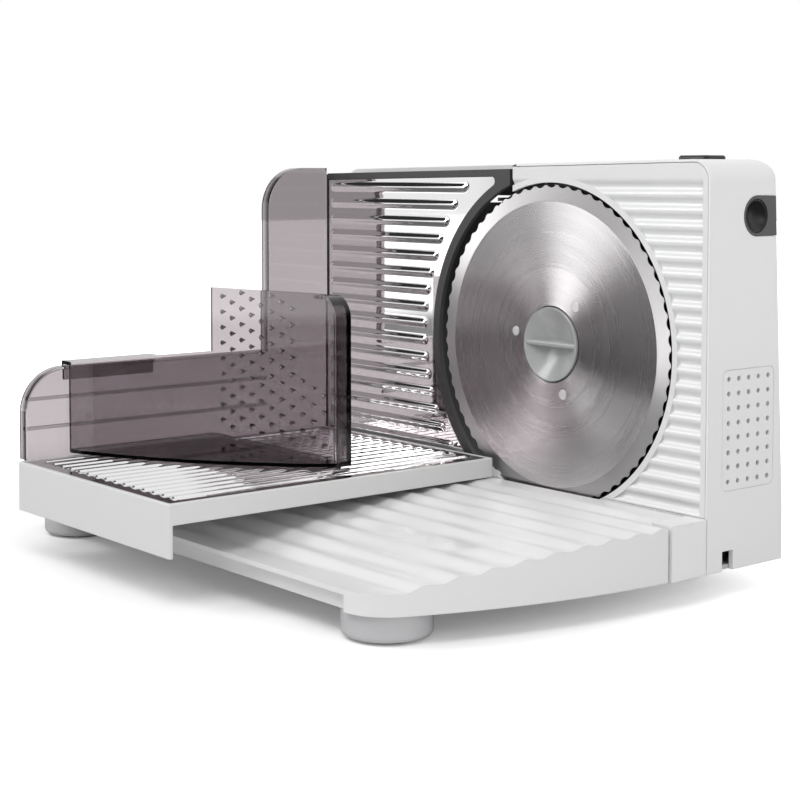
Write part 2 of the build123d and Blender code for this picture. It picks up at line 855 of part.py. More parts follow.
with BuildPart() as button_surround:
    with BuildSketch(across(housing_right - surround_depth)):
        with Locations((surround_y, surround_height)):
            Circle(surround_radius - panel_gap / 2)
            with Locations((housing_foot_depth / 2, 0)):
                Rectangle(housing_foot_depth, 2 * surround_radius - panel_gap)
        add(side_view.sketch_local, mode=Mode.INTERSECT)
        with Locations((lock_y, surround_height)):
            Circle(lock_radius + button_gap, mode=Mode.SUBTRACT)
    extrude(amount=surround_depth + 0.2)
button_surround.part.label = "button_surround"

cup_ball = (cup_radius**2 + cup_depth**2) / (2 * cup_depth)
with BuildPart() as lock_button:
    spindle(lock_y, surround_height, lock_radius, lock_face - lock_length, lock_face)
    with Locations((blade_x + lock_face + cup_ball - cup_depth, face_y + lock_y, surround_height)):
        Sphere(cup_ball, mode=Mode.SUBTRACT)
    spindle(
        lock_y,
        surround_height,
        plunger_radius,
        lock_switch_right + plunger_gap,
        lock_face - lock_length,
    )
lock_button.part.label = "lock_button"

with BuildPart() as power_button:
    with BuildSketch(level(power_top - power_cap)):
        with Locations((power_x, power_y)):
            RectangleRounded(power_length, power_width, 3)
    extrude(amount=power_cap)
    fillet(power_button.faces().sort_by(Axis.Z)[-1].edges(), 1.6)
    post(power_x, power_y, plunger_radius, shelf_top + switch_height + plunger_gap, power_top - power_cap)
power_button.part.label = "power_button"

with BuildPart() as power_switch:
    block(
        (power_x - switch_length / 2, power_x + switch_length / 2),
        (power_y - switch_width / 2, power_y + switch_width / 2),
        (shelf_top, shelf_top + switch_height),
    )
    post(power_x, power_y, plunger_radius + 0.5, shelf_top, shelf_top + switch_height, mode=Mode.SUBTRACT)
power_switch.part.label = "power_switch"

with BuildPart() as lock_switch:
    block(
        (lock_switch_right - switch_height, lock_switch_right),
        (lock_y - switch_length / 2, lock_y + switch_length / 2),
        (lock_shelf_top, lock_shelf_top + switch_width),
    )
    spindle(
        lock_y,
        surround_height,
        plunger_radius + 0.5,
        lock_switch_right - switch_height,
        lock_switch_right,
        mode=Mode.SUBTRACT,
    )
lock_switch.part.label = "lock_switch"

# ---------------------------------------------------------------- fence


def left_of_arc(radius, x_left, z_low, drop, x_right):
    """A plate this far below the housing's top, its right side hollowed by a circle about the blade."""
    Polygon(
        (-x_left, z_low),
        (-x_right, z_low),
        (-x_right, top_at(-x_right) - drop),
        (-x_left, top_at(-x_left) - drop),
        align=None,
    )
    with Locations((0, blade_height)):
        Circle(radius, mode=Mode.SUBTRACT)


# the top border of the fence meets its curved band at the fence's uppermost corner on the right
seat_tip_z = top_at(-arc_outer / 2) - fence_drop - fence_border
rim_drop = bar_height + 1 + fence_clearance


def upper_right(sketch):
    """The rightmost of a fence sketch's corners above the blade's axis."""
    upper = [corner for corner in sketch.vertices() if corner.Y > blade_height]
    return max(upper, key=lambda corner: corner.X)



with BuildPart() as fence_frame:
    with BuildSketch(upright(0)) as fence_view:
        left_of_arc(arc_inner, housing_left, fence_bottom, fence_drop, fence_right)
        fillet(fence_view.vertices().group_by(Axis.X)[0], fence_corner)
    extrude(amount=-fence_flange)
    with BuildSketch(upright(0)) as steel_seat:
        left_of_arc(
            arc_outer,
            housing_left - fence_side,
            fence_bottom + fence_side,
            fence_drop + fence_border,
            fence_right,
        )
        fillet(upper_right(steel_seat), fence_inner_corner)
    extrude(amount=-(steel_inset + steel_thickness), mode=Mode.SUBTRACT)
    with BuildSketch(upright(fence_flange)):
        left_of_arc(
            arc_inner + 1,
            window_left - fence_clearance,
            fence_bottom + 1,
            rim_drop,
            motor_side + fence_clearance,
        )
    extrude(amount=-fence_rim_depth)
    with BuildSketch(upright(fence_flange)):
        left_of_arc(
            arc_inner + 1 + fence_rim_wall,
            window_left - fence_clearance - fence_rim_wall,
            fence_bottom + 1 + fence_rim_wall,
            rim_drop + fence_rim_wall,
            motor_side + fence_clearance + fence_rim_wall,
        )
    extrude(amount=-fence_rim_depth, mode=Mode.SUBTRACT)
    for rod_z in (rod_low, rod_high):
        peg(-rod_x, rod_z, screw_radius, 0, fence_flange, mode=Mode.SUBTRACT)
fence_frame.part.label = "fence_frame"

with BuildPart() as fence_plate:
    with BuildSketch(upright(steel_inset)) as steel_view:
        left_of_arc(
            arc_outer + panel_gap / 2,
            housing_left - fence_side - panel_gap / 2,
            fence_bottom + fence_side + panel_gap / 2,
            fence_drop + fence_border + panel_gap / 2,
            fence_right,
        )
        fillet(upper_right(steel_view), fence_inner_corner)
    extrude(amount=-steel_thickness)
    rib_low = fence_bottom + rib_first
    rib_count = int((seat_tip_z - rib_width / 2 - rib_low) / rib_pitch) + 1
    rib_left = housing_left - fence_side - rib_width / 2
    with BuildSketch(upright(steel_inset)):
        for row in range(rib_count):
            rib_z = rib_low + rib_pitch * row
            # the ribs' ends draw back from the band towards the top
            spread = max(0.0, rib_z - blade_height - blade_radius / 2) / rib_end_spread
            rib_right = sqrt((arc_outer + rib_end_gap + spread) ** 2 - (rib_z - blade_height) ** 2)
            rib_mid, rib_long = span(-rib_left, -rib_right)
            with Locations((rib_mid, rib_z)):
                SlotOverall(rib_long, rib_width)
    extrude(amount=rib_rise, taper=35)
fence_plate.part.label = "fence_plate"

with BuildPart() as fence_rods:
    for rod_z in (rod_low, rod_high):
        peg(-rod_x, rod_z, rod_radius, fence_flange, fence_flange + rod_length)
    for rod_z in (rod_low, rod_high):
        peg(-rod_x, rod_z, screw_radius, fence_flange - 1, fence_flange + 8, mode=Mode.SUBTRACT)
    chamfer(fence_rods.edges().filter_by(GeomType.CIRCLE).group_by(Axis.Y)[-1], 0.8)
fence_rods.part.label = "fence_rods"

steel_back = steel_inset + steel_thickness
with BuildPart() as fence_screws:
    for rod_z in (rod_low, rod_high):
        peg(-rod_x, rod_z, screw_radius, steel_back, fence_flange + 8)
fence_screws.part.label = "fence_screws"

with BuildPart() as rod_bushes:
    for rod_z in (rod_low, rod_high):
        peg(-rod_x, rod_z, rod_radius + bush_wall, bar_front, bar_front + bush_length)
        peg(-rod_x, rod_z, rod_radius + running_fit, 0, housing_foot_depth, mode=Mode.SUBTRACT)
rod_bushes.part.label = "rod_bushes"

pinion_z = rack_height - gear_module * rack_pinion_teeth / 2
with BuildPart() as fence_rack:
    block(
        (-rod_x - rack_width / 2, -rod_x + rack_width / 2),
        (fence_flange, fence_flange + rack_length),
        (rack_height + gear_dedendum * gear_module, rack_height + rack_bar),
    )
    tooth_pitch = pi * gear_module
    first_tooth = rack_pinion_y + tooth_pitch / 2 - 7 * tooth_pitch
    flank = tan(radians(pressure_angle))
    half_pitch_width = tooth_pitch / 4 - gear_backlash / 4
    tip_half = half_pitch_width - gear_addendum * gear_module * flank
    root_half = half_pitch_width + (gear_dedendum * gear_module + 0.2) * flank
    with BuildSketch(across(-rod_x - rack_width / 2)):
        for number in range(10):
            with Locations((first_tooth + tooth_pitch * number, rack_height)):
                Polygon(
                    (-tip_half, -gear_addendum * gear_module),
                    (tip_half, -gear_addendum * gear_module),
                    (root_half, gear_dedendum * gear_module + 0.2),
                    (-root_half, gear_dedendum * gear_module + 0.2),
                    align=None,
                )
    extrude(amount=rack_width)
fence_rack.part.label = "fence_rack"

with BuildPart() as dial_pinion:
    with BuildSketch(across(-rod_x - rack_width / 2 + 0.5)):
        root = gear_module * rack_pinion_teeth / 2 - gear_dedendum * gear_module
        with Locations((rack_pinion_y, pinion_z)):
            Circle(root)
        with Locations(Location((rack_pinion_y, pinion_z, 0), (0, 0, 1), 90)):
            with PolarLocations(0, rack_pinion_teeth):
                Polygon(*tooth(rack_pinion_teeth), align=None)
    extrude(amount=rack_width - 1)
    spindle(rack_pinion_y, pinion_z, dial_shaft_radius, -housing_left - dial_thickness / 2, -rod_x)
dial_pinion.part.label = "dial_pinion"

with BuildPart() as thickness_dial:
    dial_inner = -housing_left - fence_clearance
    with BuildSketch(across(dial_inner)):
        with Locations((rack_pinion_y, pinion_z)):
            Circle(dial_radius)
            with PolarLocations(dial_radius + dial_flute_radius / 2, dial_flutes):
                Circle(dial_flute_radius, mode=Mode.SUBTRACT)
    extrude(amount=-dial_thickness)
    chamfer(thickness_dial.faces().sort_by(Axis.X)[0].edges(), 0.6)
    spindle(
        rack_pinion_y,
        pinion_z,
        dial_shaft_radius,
        -housing_left - dial_thickness / 2,
        dial_inner + 1,
        mode=Mode.SUBTRACT,
    )
    block(
        (dial_inner - dial_thickness, dial_inner - dial_thickness + 0.8),
        (rack_pinion_y - 0.6, rack_pinion_y + 0.6),
        (pinion_z + dial_radius / 2, pinion_z + dial_radius - 2),
        mode=Mode.SUBTRACT,
    )
thickness_dial.part.label = "thickness_dial"

# ---------------------------------------------------------------- base


def tray_height(distance):
    """Height of the base's ribbed top, this far in front of the housing, without its waves."""
    run = tray_front - tray_back_margin - tray_front_margin
    share = min(1.0, max(0.0, (distance - tray_back_margin) / run))
    return tray_back_height - (tray_back_height - tray_front_height) * share**2


# the base seen from above: straight front and back, a bowed right side round the corner block
side_start = (tray_right, -block_front - block_gap)
with BuildSketch(Plane.XY) as tray_plan:
    with BuildLine():
        Polyline(
            side_start,
            (block_left - panel_gap, -block_front - block_gap),
            (block_left - panel_gap, -tray_gap),
            (-base_left, -tray_gap),
            (-base_left, -tray_front),
            (tray_nose_x, -tray_front),
        )
        ThreePointArc((tray_nose_x, -tray_front), (tray_bulge_x, -tray_bulge_y), side_start)
    make_face()
    fillet(tray_plan.vertices().sort_by_distance((tray_nose_x, -tray_front, 0))[0], tray_corner)
    fillet(tray_plan.vertices().sort_by_distance((-base_left, -tray_front, 0))[0], tray_left_corner)

wave_run = tray_front - tray_back_margin - tray_front_margin
tray_waves = round(wave_run / tray_wave_pitch)


def tray_wave_points():
    """The ribbed top's side view, four points to a wave."""
    points = []
    for step in range(4 * tray_waves + 1):
        distance = tray_back_margin + wave_run * step / (4 * tray_waves)
        points.append((-distance, tray_height(distance) - tray_wave * (1 - cos(pi * step / 2))))
    return points


lip_wall = lip_overhang + tray_skin

with BuildPart() as tray_hollow:
    with BuildSketch(level(underside - 1)):
        offset(tray_plan.sketch_local, amount=-tray_skin)
        with Locations(((lip_right + tray_skin - base_left) / 2, -tray_front)):
            Rectangle(
                base_left + lip_right + tray_skin,
                2 * lip_wall,
                mode=Mode.SUBTRACT,
            )
    extrude(amount=base_top)
    with BuildSketch(across(-base_left)):
        with BuildLine():
            hollow_steps = [tray_front * step / 8 for step in range(9)]
            Spline(*[(-d, tray_height(d) - tray_skin - 2 * tray_wave) for d in hollow_steps])
            Polyline(
                (-tray_front, tray_front_height - tray_skin - 2 * tray_wave),
                (-tray_front, underside - 2),
                (0, underside - 2),
                (0, tray_back_height - tray_skin - 2 * tray_wave),
            )
        make_face()
    extrude(amount=base_left + housing_right, mode=Mode.INTERSECT)

with BuildPart() as base_tray:
    with BuildSketch(across(-base_left)):
        with BuildLine():
            wave_points = tray_wave_points()
            Spline(*wave_points)
            Polyline(
                wave_points[-1],
                (-tray_front, tray_front_height),
                (-tray_front, underside),
                (0, underside),
                (0, tray_back_height),
                wave_points[0],
            )
        make_face()
    extrude(amount=base_left + housing_right)
    with BuildSketch(level(underside)):
        add(tray_plan.sketch_local)
    extrude(amount=base_top, mode=Mode.INTERSECT)
    add(tray_hollow.part, mode=Mode.SUBTRACT)
    # the front lip that the carriage hooks on
    block(
        (-base_left - 1, lip_right),
        (-tray_front - 1, -tray_front + lip_overhang),
        (underside - 1, tray_front_height - lip_thickness),
        mode=Mode.SUBTRACT,
    )
    for foot_x in (foot_front_x, -foot_left_x):
        boss_top = tray_height(foot_front_y) - 2 * tray_wave - tray_skin / 2
        post(foot_x, -foot_front_y, boss_radius, underside + bottom_plate, boss_top)
        post(foot_x, -foot_front_y, foot_screw_radius, underside, boss_top - tray_skin, mode=Mode.SUBTRACT)
base_tray.part.label = "base_tray"

with BuildPart() as base_plate:
    with BuildSketch(level(underside)):
        offset(tray_plan.sketch_local, amount=-tray_skin - plate_gap)
        with Locations(((lip_right + tray_skin - base_left) / 2, -tray_front)):
            Rectangle(
                base_left + lip_right + tray_skin + 2 * plate_gap,
                2 * (lip_wall + plate_gap),
                mode=Mode.SUBTRACT,
            )
        for foot_x in (foot_front_x, -foot_left_x):
            with Locations((foot_x, -foot_front_y)):
                Circle(foot_screw_radius + running_fit, mode=Mode.SUBTRACT)
    extrude(amount=bottom_plate)
base_plate.part.label = "base_plate"

with BuildPart() as housing_bottom:
    block(
        (-housing_left + wall + plate_gap, housing_right - wall - plate_gap),
        (wall + plate_gap, housing_foot_depth - wall - plate_gap),
        (underside, underside + bottom_plate),
    )
    for foot_x in (foot_front_x, -foot_rear_left_x):
        post(foot_x, foot_rear_y, foot_screw_radius + running_fit, 0, base_top, mode=Mode.SUBTRACT)
housing_bottom.part.label = "housing_bottom"

foot_places = {
    "foot_front_right": (foot_front_x, -foot_front_y),
    "foot_front_left": (-foot_left_x, -foot_front_y),
    "foot_rear_right": (foot_front_x, foot_rear_y),
    "foot_rear_left": (-foot_rear_left_x, foot_rear_y),
}
foot_screw_seat = pad_height + foot_lift + foot_screw_head
feet = []
for foot_name, (foot_x, foot_y) in foot_places.items():
    with BuildPart() as foot:
        post(foot_x, foot_y, foot_radius, foot_lift, underside)
        fillet(foot.edges().filter_by(GeomType.CIRCLE).group_by(Axis.Z)[0], foot_edge)
        post(foot_x, foot_y, pad_radius + running_fit, 0, pad_height, mode=Mode.SUBTRACT)
        post(foot_x, foot_y, foot_screw_head + plate_gap, 0, foot_screw_seat, mode=Mode.SUBTRACT)
        post(foot_x, foot_y, foot_screw_radius + running_fit, 0, underside, mode=Mode.SUBTRACT)
    foot.part.label = foot_name
    feet.append(foot)

with BuildPart() as foot_pads:
    for foot_x, foot_y in foot_places.values():
        post(foot_x, foot_y, pad_radius, 0, pad_height)
        post(foot_x, foot_y, foot_screw_head, pad_height / 2, pad_height, mode=Mode.SUBTRACT)
foot_pads.part.label = "foot_pads"

with BuildPart() as foot_screws:
    for foot_x, foot_y in foot_places.values():
        post(foot_x, foot_y, foot_screw_head, foot_screw_seat - 2.5, foot_screw_seat)
        screw_tip = min(foot_screw_seat + foot_screw_length, tray_height(foot_front_y) - tray_skin - 4)
        post(foot_x, foot_y, foot_screw_radius, foot_screw_seat, screw_tip)
foot_screws.part.label = "foot_screws"

# ---------------------------------------------------------------- carriage

deck_top = carriage_top - table_steel
deck_bottom = deck_top - deck_thickness
guard_outer = carriage_left + guard_thickness
guard_screw_z = (carriage_bottom + deck_bottom) / 2 + 1
with BuildSketch(Plane.XY) as guard_screw_places:
    with Locations((-carriage_front / 2, guard_screw_z)):
        with GridLocations(carriage_front * guard_screw_spread, 1, 3, 1):
            Circle(screw_radius)

with BuildPart() as carriage_frame:
    frame_x = (-carriage_left, -carriage_right)
    frame_y = (-carriage_front, -carriage_back)
    frame_mid_x, frame_long_x = span(*frame_x)
    frame_mid_y, frame_long_y = span(*frame_y)
    with BuildSketch(level(carriage_skirt)):
        with Locations((frame_mid_x, frame_mid_y)):
            RectangleRounded(frame_long_x, frame_long_y, carriage_corner)
    extrude(amount=carriage_top - carriage_skirt)
    fillet(carriage_frame.faces().sort_by(Axis.Z)[-1].edges(), 0.8)
    block(
        (-carriage_left - 1, -carriage_right + 1),
        (-carriage_front + carriage_wall, 0),
        (0, carriage_bottom),
        mode=Mode.SUBTRACT,
    )
    block(
        (-carriage_left + carriage_wall, -carriage_right - carriage_wall),
        (-carriage_front + carriage_wall, -carriage_back - carriage_wall),
        (carriage_bottom - 1, deck_bottom),
        mode=Mode.SUBTRACT,
    )
    block(
        (-carriage_left + carriage_rim, -carriage_right - carriage_rim),
        (-carriage_front + carriage_rim, -carriage_back - carriage_rim),
        (deck_top, carriage_top + 1),
        mode=Mode.SUBTRACT,
    )
    with BuildSketch(across(-carriage_left)):
        add(guard_screw_places.sketch_local)
    extrude(amount=carriage_wall, mode=Mode.SUBTRACT)
carriage_frame.part.label = "carriage_frame"

table_gap = 0.2
with BuildPart() as carriage_plate:
    table_x = (-carriage_left + carriage_rim + table_gap, -carriage_right - carriage_rim - table_gap)
    table_y = (-carriage_front + carriage_rim + table_gap, -carriage_back - carriage_rim - table_gap)
    table_mid_x, table_long_x = span(*table_x)
    table_mid_y, table_long_y = span(*table_y)
    block(table_x, table_y, (deck_top, carriage_top - table_gap))
    rib_total = int((table_long_x - 2 * table_rib_margin) / table_rib_pitch) + 1
    with BuildSketch(level(carriage_top - table_gap)):
        with Locations((table_mid_x, table_mid_y)):
            with GridLocations(table_rib_pitch, 1, rib_total, 1):
                SlotOverall(table_long_y - 2 * table_rib_margin, table_rib_width, rotation=90)
    extrude(amount=table_rib_rise, taper=table_rib_taper)
carriage_plate.part.label = "carriage_plate"


# the clear side wall seen from the right: low along the table, tall next to the blade
with BuildSketch(Plane.XY) as guard_side:
    guard_foot = carriage_bottom + table_gap
    Polygon(
        (-guard_back, guard_foot),
        (-guard_back, guard_top),
        (-guard_step, guard_top),
        (-guard_step, guard_low_top),
        (-guard_front, guard_low_top),
        (-guard_front, guard_foot),
        align=None,
    )
    fillet(guard_side.vertices().sort_by_distance((-guard_step, guard_top, 0))[0], guard_top_corner)
    fillet(guard_side.vertices().sort_by_distance((-guard_front, guard_low_top, 0))[0], guard_corner)

flange_outer = guard_outer + guard_flange
with BuildPart() as carriage_guard:
    with BuildSketch(across(-guard_outer)):
        add(guard_side.sketch_local)
    extrude(amount=guard_thickness)
    with BuildSketch(across(-flange_outer)):
        add(guard_side.sketch_local)
        offset(guard_side.sketch_local, amount=-guard_flange_wall, mode=Mode.SUBTRACT)
        with Locations((-guard_back, (guard_top + underside) / 2)):
            Rectangle(2 * guard_flange_wall, guard_top, mode=Mode.SUBTRACT)
        with Locations((-guard_front / 2, carriage_top / 2)):
            Rectangle(guard_front, carriage_top, mode=Mode.SUBTRACT)
    extrude(amount=guard_flange)
    for rib_z in (guard_rib_low, guard_rib_high):
        block(
            (-guard_outer - guard_rib, -guard_outer),
            (-guard_front + guard_flange_wall, -guard_step),
            (rib_z, rib_z + guard_rib),
        )
    with BuildSketch(across(-guard_outer)):
        add(guard_screw_places.sketch_local)
    extrude(amount=guard_thickness, mode=Mode.SUBTRACT)
carriage_guard.part.label = "carriage_guard"

with BuildPart() as guard_screws:
    with BuildSketch(across(-guard_outer)):
        offset(guard_screw_places.sketch_local, amount=screw_head - screw_radius)
    extrude(amount=-screw_head_height)
    with BuildSketch(across(-guard_outer)):
        add(guard_screw_places.sketch_local)
    extrude(amount=guard_thickness + carriage_wall)
guard_screws.part.label = "guard_screws"

lip_bottom = tray_front_height - lip_thickness
finger_top = lip_bottom - glide_clearance
web_back = -tray_front - glide_clearance
with BuildPart() as front_glide:
    with BuildSketch(across(-glide_left)):
        with BuildLine():
            Polyline(
                (web_back - glide_web, deck_bottom),
                (web_back - glide_web, finger_top - glide_finger),
                (-tray_front + lip_overhang - glide_clearance, finger_top - glide_finger),
                (-tray_front + lip_overhang - glide_clearance, finger_top),
                (web_back, finger_top),
                (web_back, tray_front_height + glide_clearance),
                (web_back + glide_shoulder, tray_front_height + glide_clearance),
                (web_back + glide_shoulder, deck_bottom),
                close=True,
            )
        make_face()
    extrude(amount=glide_left - glide_right)
front_glide.part.label = "front_glide"

with BuildPart() as rear_glides:
    for glide_x in (rear_glide_left, rear_glide_right):
        post(-glide_x, -rear_glide_y, rear_glide_radius, tray_back_height + glide_clearance, deck_bottom)
    fillet(rear_glides.edges().filter_by(GeomType.CIRCLE).group_by(Axis.Z)[0], 1.0)
rear_glides.part.label = "rear_glides"

# ---------------------------------------------------------------- pusher

pusher_left = carriage_left - pusher_gap
side_inner = pusher_left - pusher_thickness + 0.3
hook_low = guard_low_top + pusher_gap - 0.2
hook_top = hook_low + pusher_thickness - 0.3
hook_outer = flange_outer + pusher_gap - 0.2
plate_face = -pusher_y
with BuildSketch(Plane.XY) as pusher_view:
    Polygon(
        (-pusher_left, pusher_bottom),
        (-pusher_right, pusher_bottom),
        (-pusher_right, pusher_top),
        (-pusher_left, pusher_top - pusher_rise),
        align=None,
    )
    fillet(pusher_view.vertices().sort_by_distance((-pusher_right, pusher_top, 0))[0], pusher_corner)

with BuildPart() as food_pusher:
    # spiked plate, with a rim at its free edge
    with BuildSketch(upright(plate_face)):
        add(pusher_view.sketch_local)
    extrude(amount=pusher_thickness)
    with BuildSketch(upright(plate_face)):
        add(pusher_view.sketch_local)
        offset(pusher_view.sketch_local, amount=-pusher_thickness + 0.3, mode=Mode.SUBTRACT)
        with Locations((-pusher_left, pusher_top)):
            Rectangle(
                2 * (pusher_left - pusher_right - pusher_corner - 8),
                2 * pusher_top,
                mode=Mode.SUBTRACT,
            )
        with Locations((-pusher_right, pusher_bottom)):
            Rectangle(2 * pusher_left, 2 * pusher_thickness, mode=Mode.SUBTRACT)
    extrude(amount=pusher_thickness + pusher_rim)
    # side panel along the carriage wall, and the channel that rides on the wall's top
    block(
        (-pusher_left, -side_inner),
        (-pusher_side_front, plate_face - pusher_thickness / 2),
        (pusher_bottom, hook_top),
    )
    block((-hook_outer - 2, -side_inner), (-hook_front, -hook_back), (hook_low, hook_top))
    block(
        (-hook_outer - 2, -hook_outer),
        (-hook_front, -hook_back),
        (hook_top - hook_drop, hook_top),
    )
    # floor web with a bowed free edge
    with BuildSketch(level(pusher_bottom)):
        with BuildLine():
            web_start = (-side_inner, -pusher_side_front)
            web_end = (-pusher_right, plate_face - pusher_thickness - pusher_rim)
            web_mid = (
                (web_start[0] + web_end[0]) / 2 + gusset_bulge * 0.55,
                (web_start[1] + web_end[1]) / 2 - gusset_bulge * 0.83,
            )
            ThreePointArc(web_start, web_mid, web_end)
            Polyline(
                web_end,
                (-pusher_right, plate_face - pusher_thickness / 2),
                (-side_inner, plate_face - pusher_thickness / 2),
                web_start,
            )
        make_face()
    extrude(amount=pusher_thickness - 0.3)
    # spikes towards the food
    with BuildSketch(upright(plate_face)):
        for column in range(spike_columns):
            spike_x = -pusher_left + spike_margin_x + spike_pitch_x * column
            tall = column < spike_tall_columns
            skipped = 0 if tall else spike_skipped_rows + column // (spike_columns - 1)
            for row in range(skipped, spike_rows):
                drop = spike_margin_z + spike_pitch_z * (row + (column + 1) % 3 / 3 - 1 / 3)
                spike_z = pusher_top - pusher_rise - drop
                if spike_z > pusher_bottom + pusher_thickness + spike_base:
                    with Locations((spike_x, spike_z)):
                        RegularPolygon(spike_base / 2 * sqrt(2), 4)
    spike_taper = degrees(atan2(spike_base / 2 - 0.15, spike_height))
    extrude(amount=-spike_height, taper=spike_taper)
food_pusher.part.label = "food_pusher"

# ---------------------------------------------------------------- files

pieces = [
    housing_shell,
    front_panel,
    blade_well,
    vent_panel,
    gear_plate,
    plate_screws,
    blade_axle,
    idler_pin,
    blade_disc,
    blade_gear,
    blade_rivets,
    blade_lock_knob,
    idler_gear,
    drive_pinion,
    motor_can,
    motor_end_cap,
    motor_bearings,
    motor_magnets,
    motor_rotor,
    button_surround,
    lock_button,
    power_button,
    power_switch,
    lock_switch,
    fence_frame,
    fence_plate,
    fence_rods,
    fence_screws,
    rod_bushes,
    fence_rack,
    dial_pinion,
    thickness_dial,
    base_tray,
    base_plate,
    housing_bottom,
    *feet,
    foot_pads,
    foot_screws,
    carriage_frame,
    carriage_plate,
    carriage_guard,
    guard_screws,
    front_glide,
    rear_glides,
    food_pusher,
]
os.makedirs("parts", exist_ok=True)
for piece in pieces:
    export_step(piece.part, f"parts/{piece.part.label}.step")
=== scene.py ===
"""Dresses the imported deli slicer: materials, pressed sheets, a knob cap, studio and camera."""
import json
import math

import bpy
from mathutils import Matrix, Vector


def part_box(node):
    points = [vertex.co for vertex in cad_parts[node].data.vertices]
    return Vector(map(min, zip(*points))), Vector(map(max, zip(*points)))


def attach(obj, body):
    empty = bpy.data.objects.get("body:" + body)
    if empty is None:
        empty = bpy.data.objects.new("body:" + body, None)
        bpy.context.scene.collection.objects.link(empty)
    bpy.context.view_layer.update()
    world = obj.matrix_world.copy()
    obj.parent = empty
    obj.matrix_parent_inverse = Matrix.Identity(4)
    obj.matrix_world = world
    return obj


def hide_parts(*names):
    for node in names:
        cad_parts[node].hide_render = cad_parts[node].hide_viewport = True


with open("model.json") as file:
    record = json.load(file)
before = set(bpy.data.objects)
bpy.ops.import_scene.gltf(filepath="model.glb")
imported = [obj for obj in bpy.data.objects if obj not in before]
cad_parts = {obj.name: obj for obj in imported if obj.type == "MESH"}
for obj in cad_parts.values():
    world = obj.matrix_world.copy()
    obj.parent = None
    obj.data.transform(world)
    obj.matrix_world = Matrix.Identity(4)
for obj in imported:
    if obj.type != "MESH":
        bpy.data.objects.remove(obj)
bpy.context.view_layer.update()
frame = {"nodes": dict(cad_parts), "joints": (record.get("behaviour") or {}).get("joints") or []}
nodes = frame["nodes"]

# ---------------------------------------------------------------- measures from the frame

MM = 0.001
blade_centre = Vector(
    next(joint["pos_m"] for joint in frame["joints"] if joint["name"] == "blade_spin")
)
blade_low, blade_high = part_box("blade_disc")
blade_radius = (blade_high.x - blade_low.x) / 2
knob_low, knob_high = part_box("blade_lock_knob")
knob_radius = (knob_high.x - knob_low.x) / 2
face_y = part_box("front_panel")[0].y
fence_low, fence_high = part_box("fence_plate")
plate_low, plate_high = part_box("carriage_plate")

# the guard's wall starts behind its turned-out flange
GUARD_FLANGE = 2.5 * MM
guard_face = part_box("carriage_guard")[1].x - GUARD_FLANGE

# the pusher's spikes, its hook over the guard and its floor
SPIKE_LENGTH = 3.6 * MM
HOOK_HEIGHT = 56.5 * MM
PUSHER_FLOOR = 2.6 * MM
pusher_low, pusher_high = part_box("food_pusher")
spike_root = pusher_high.y - SPIKE_LENGTH
pusher_side = pusher_high.x
hook_level = pusher_low.z + HOOK_HEIGHT
floor_level = pusher_low.z + PUSHER_FLOOR

# ---------------------------------------------------------------- shader helpers


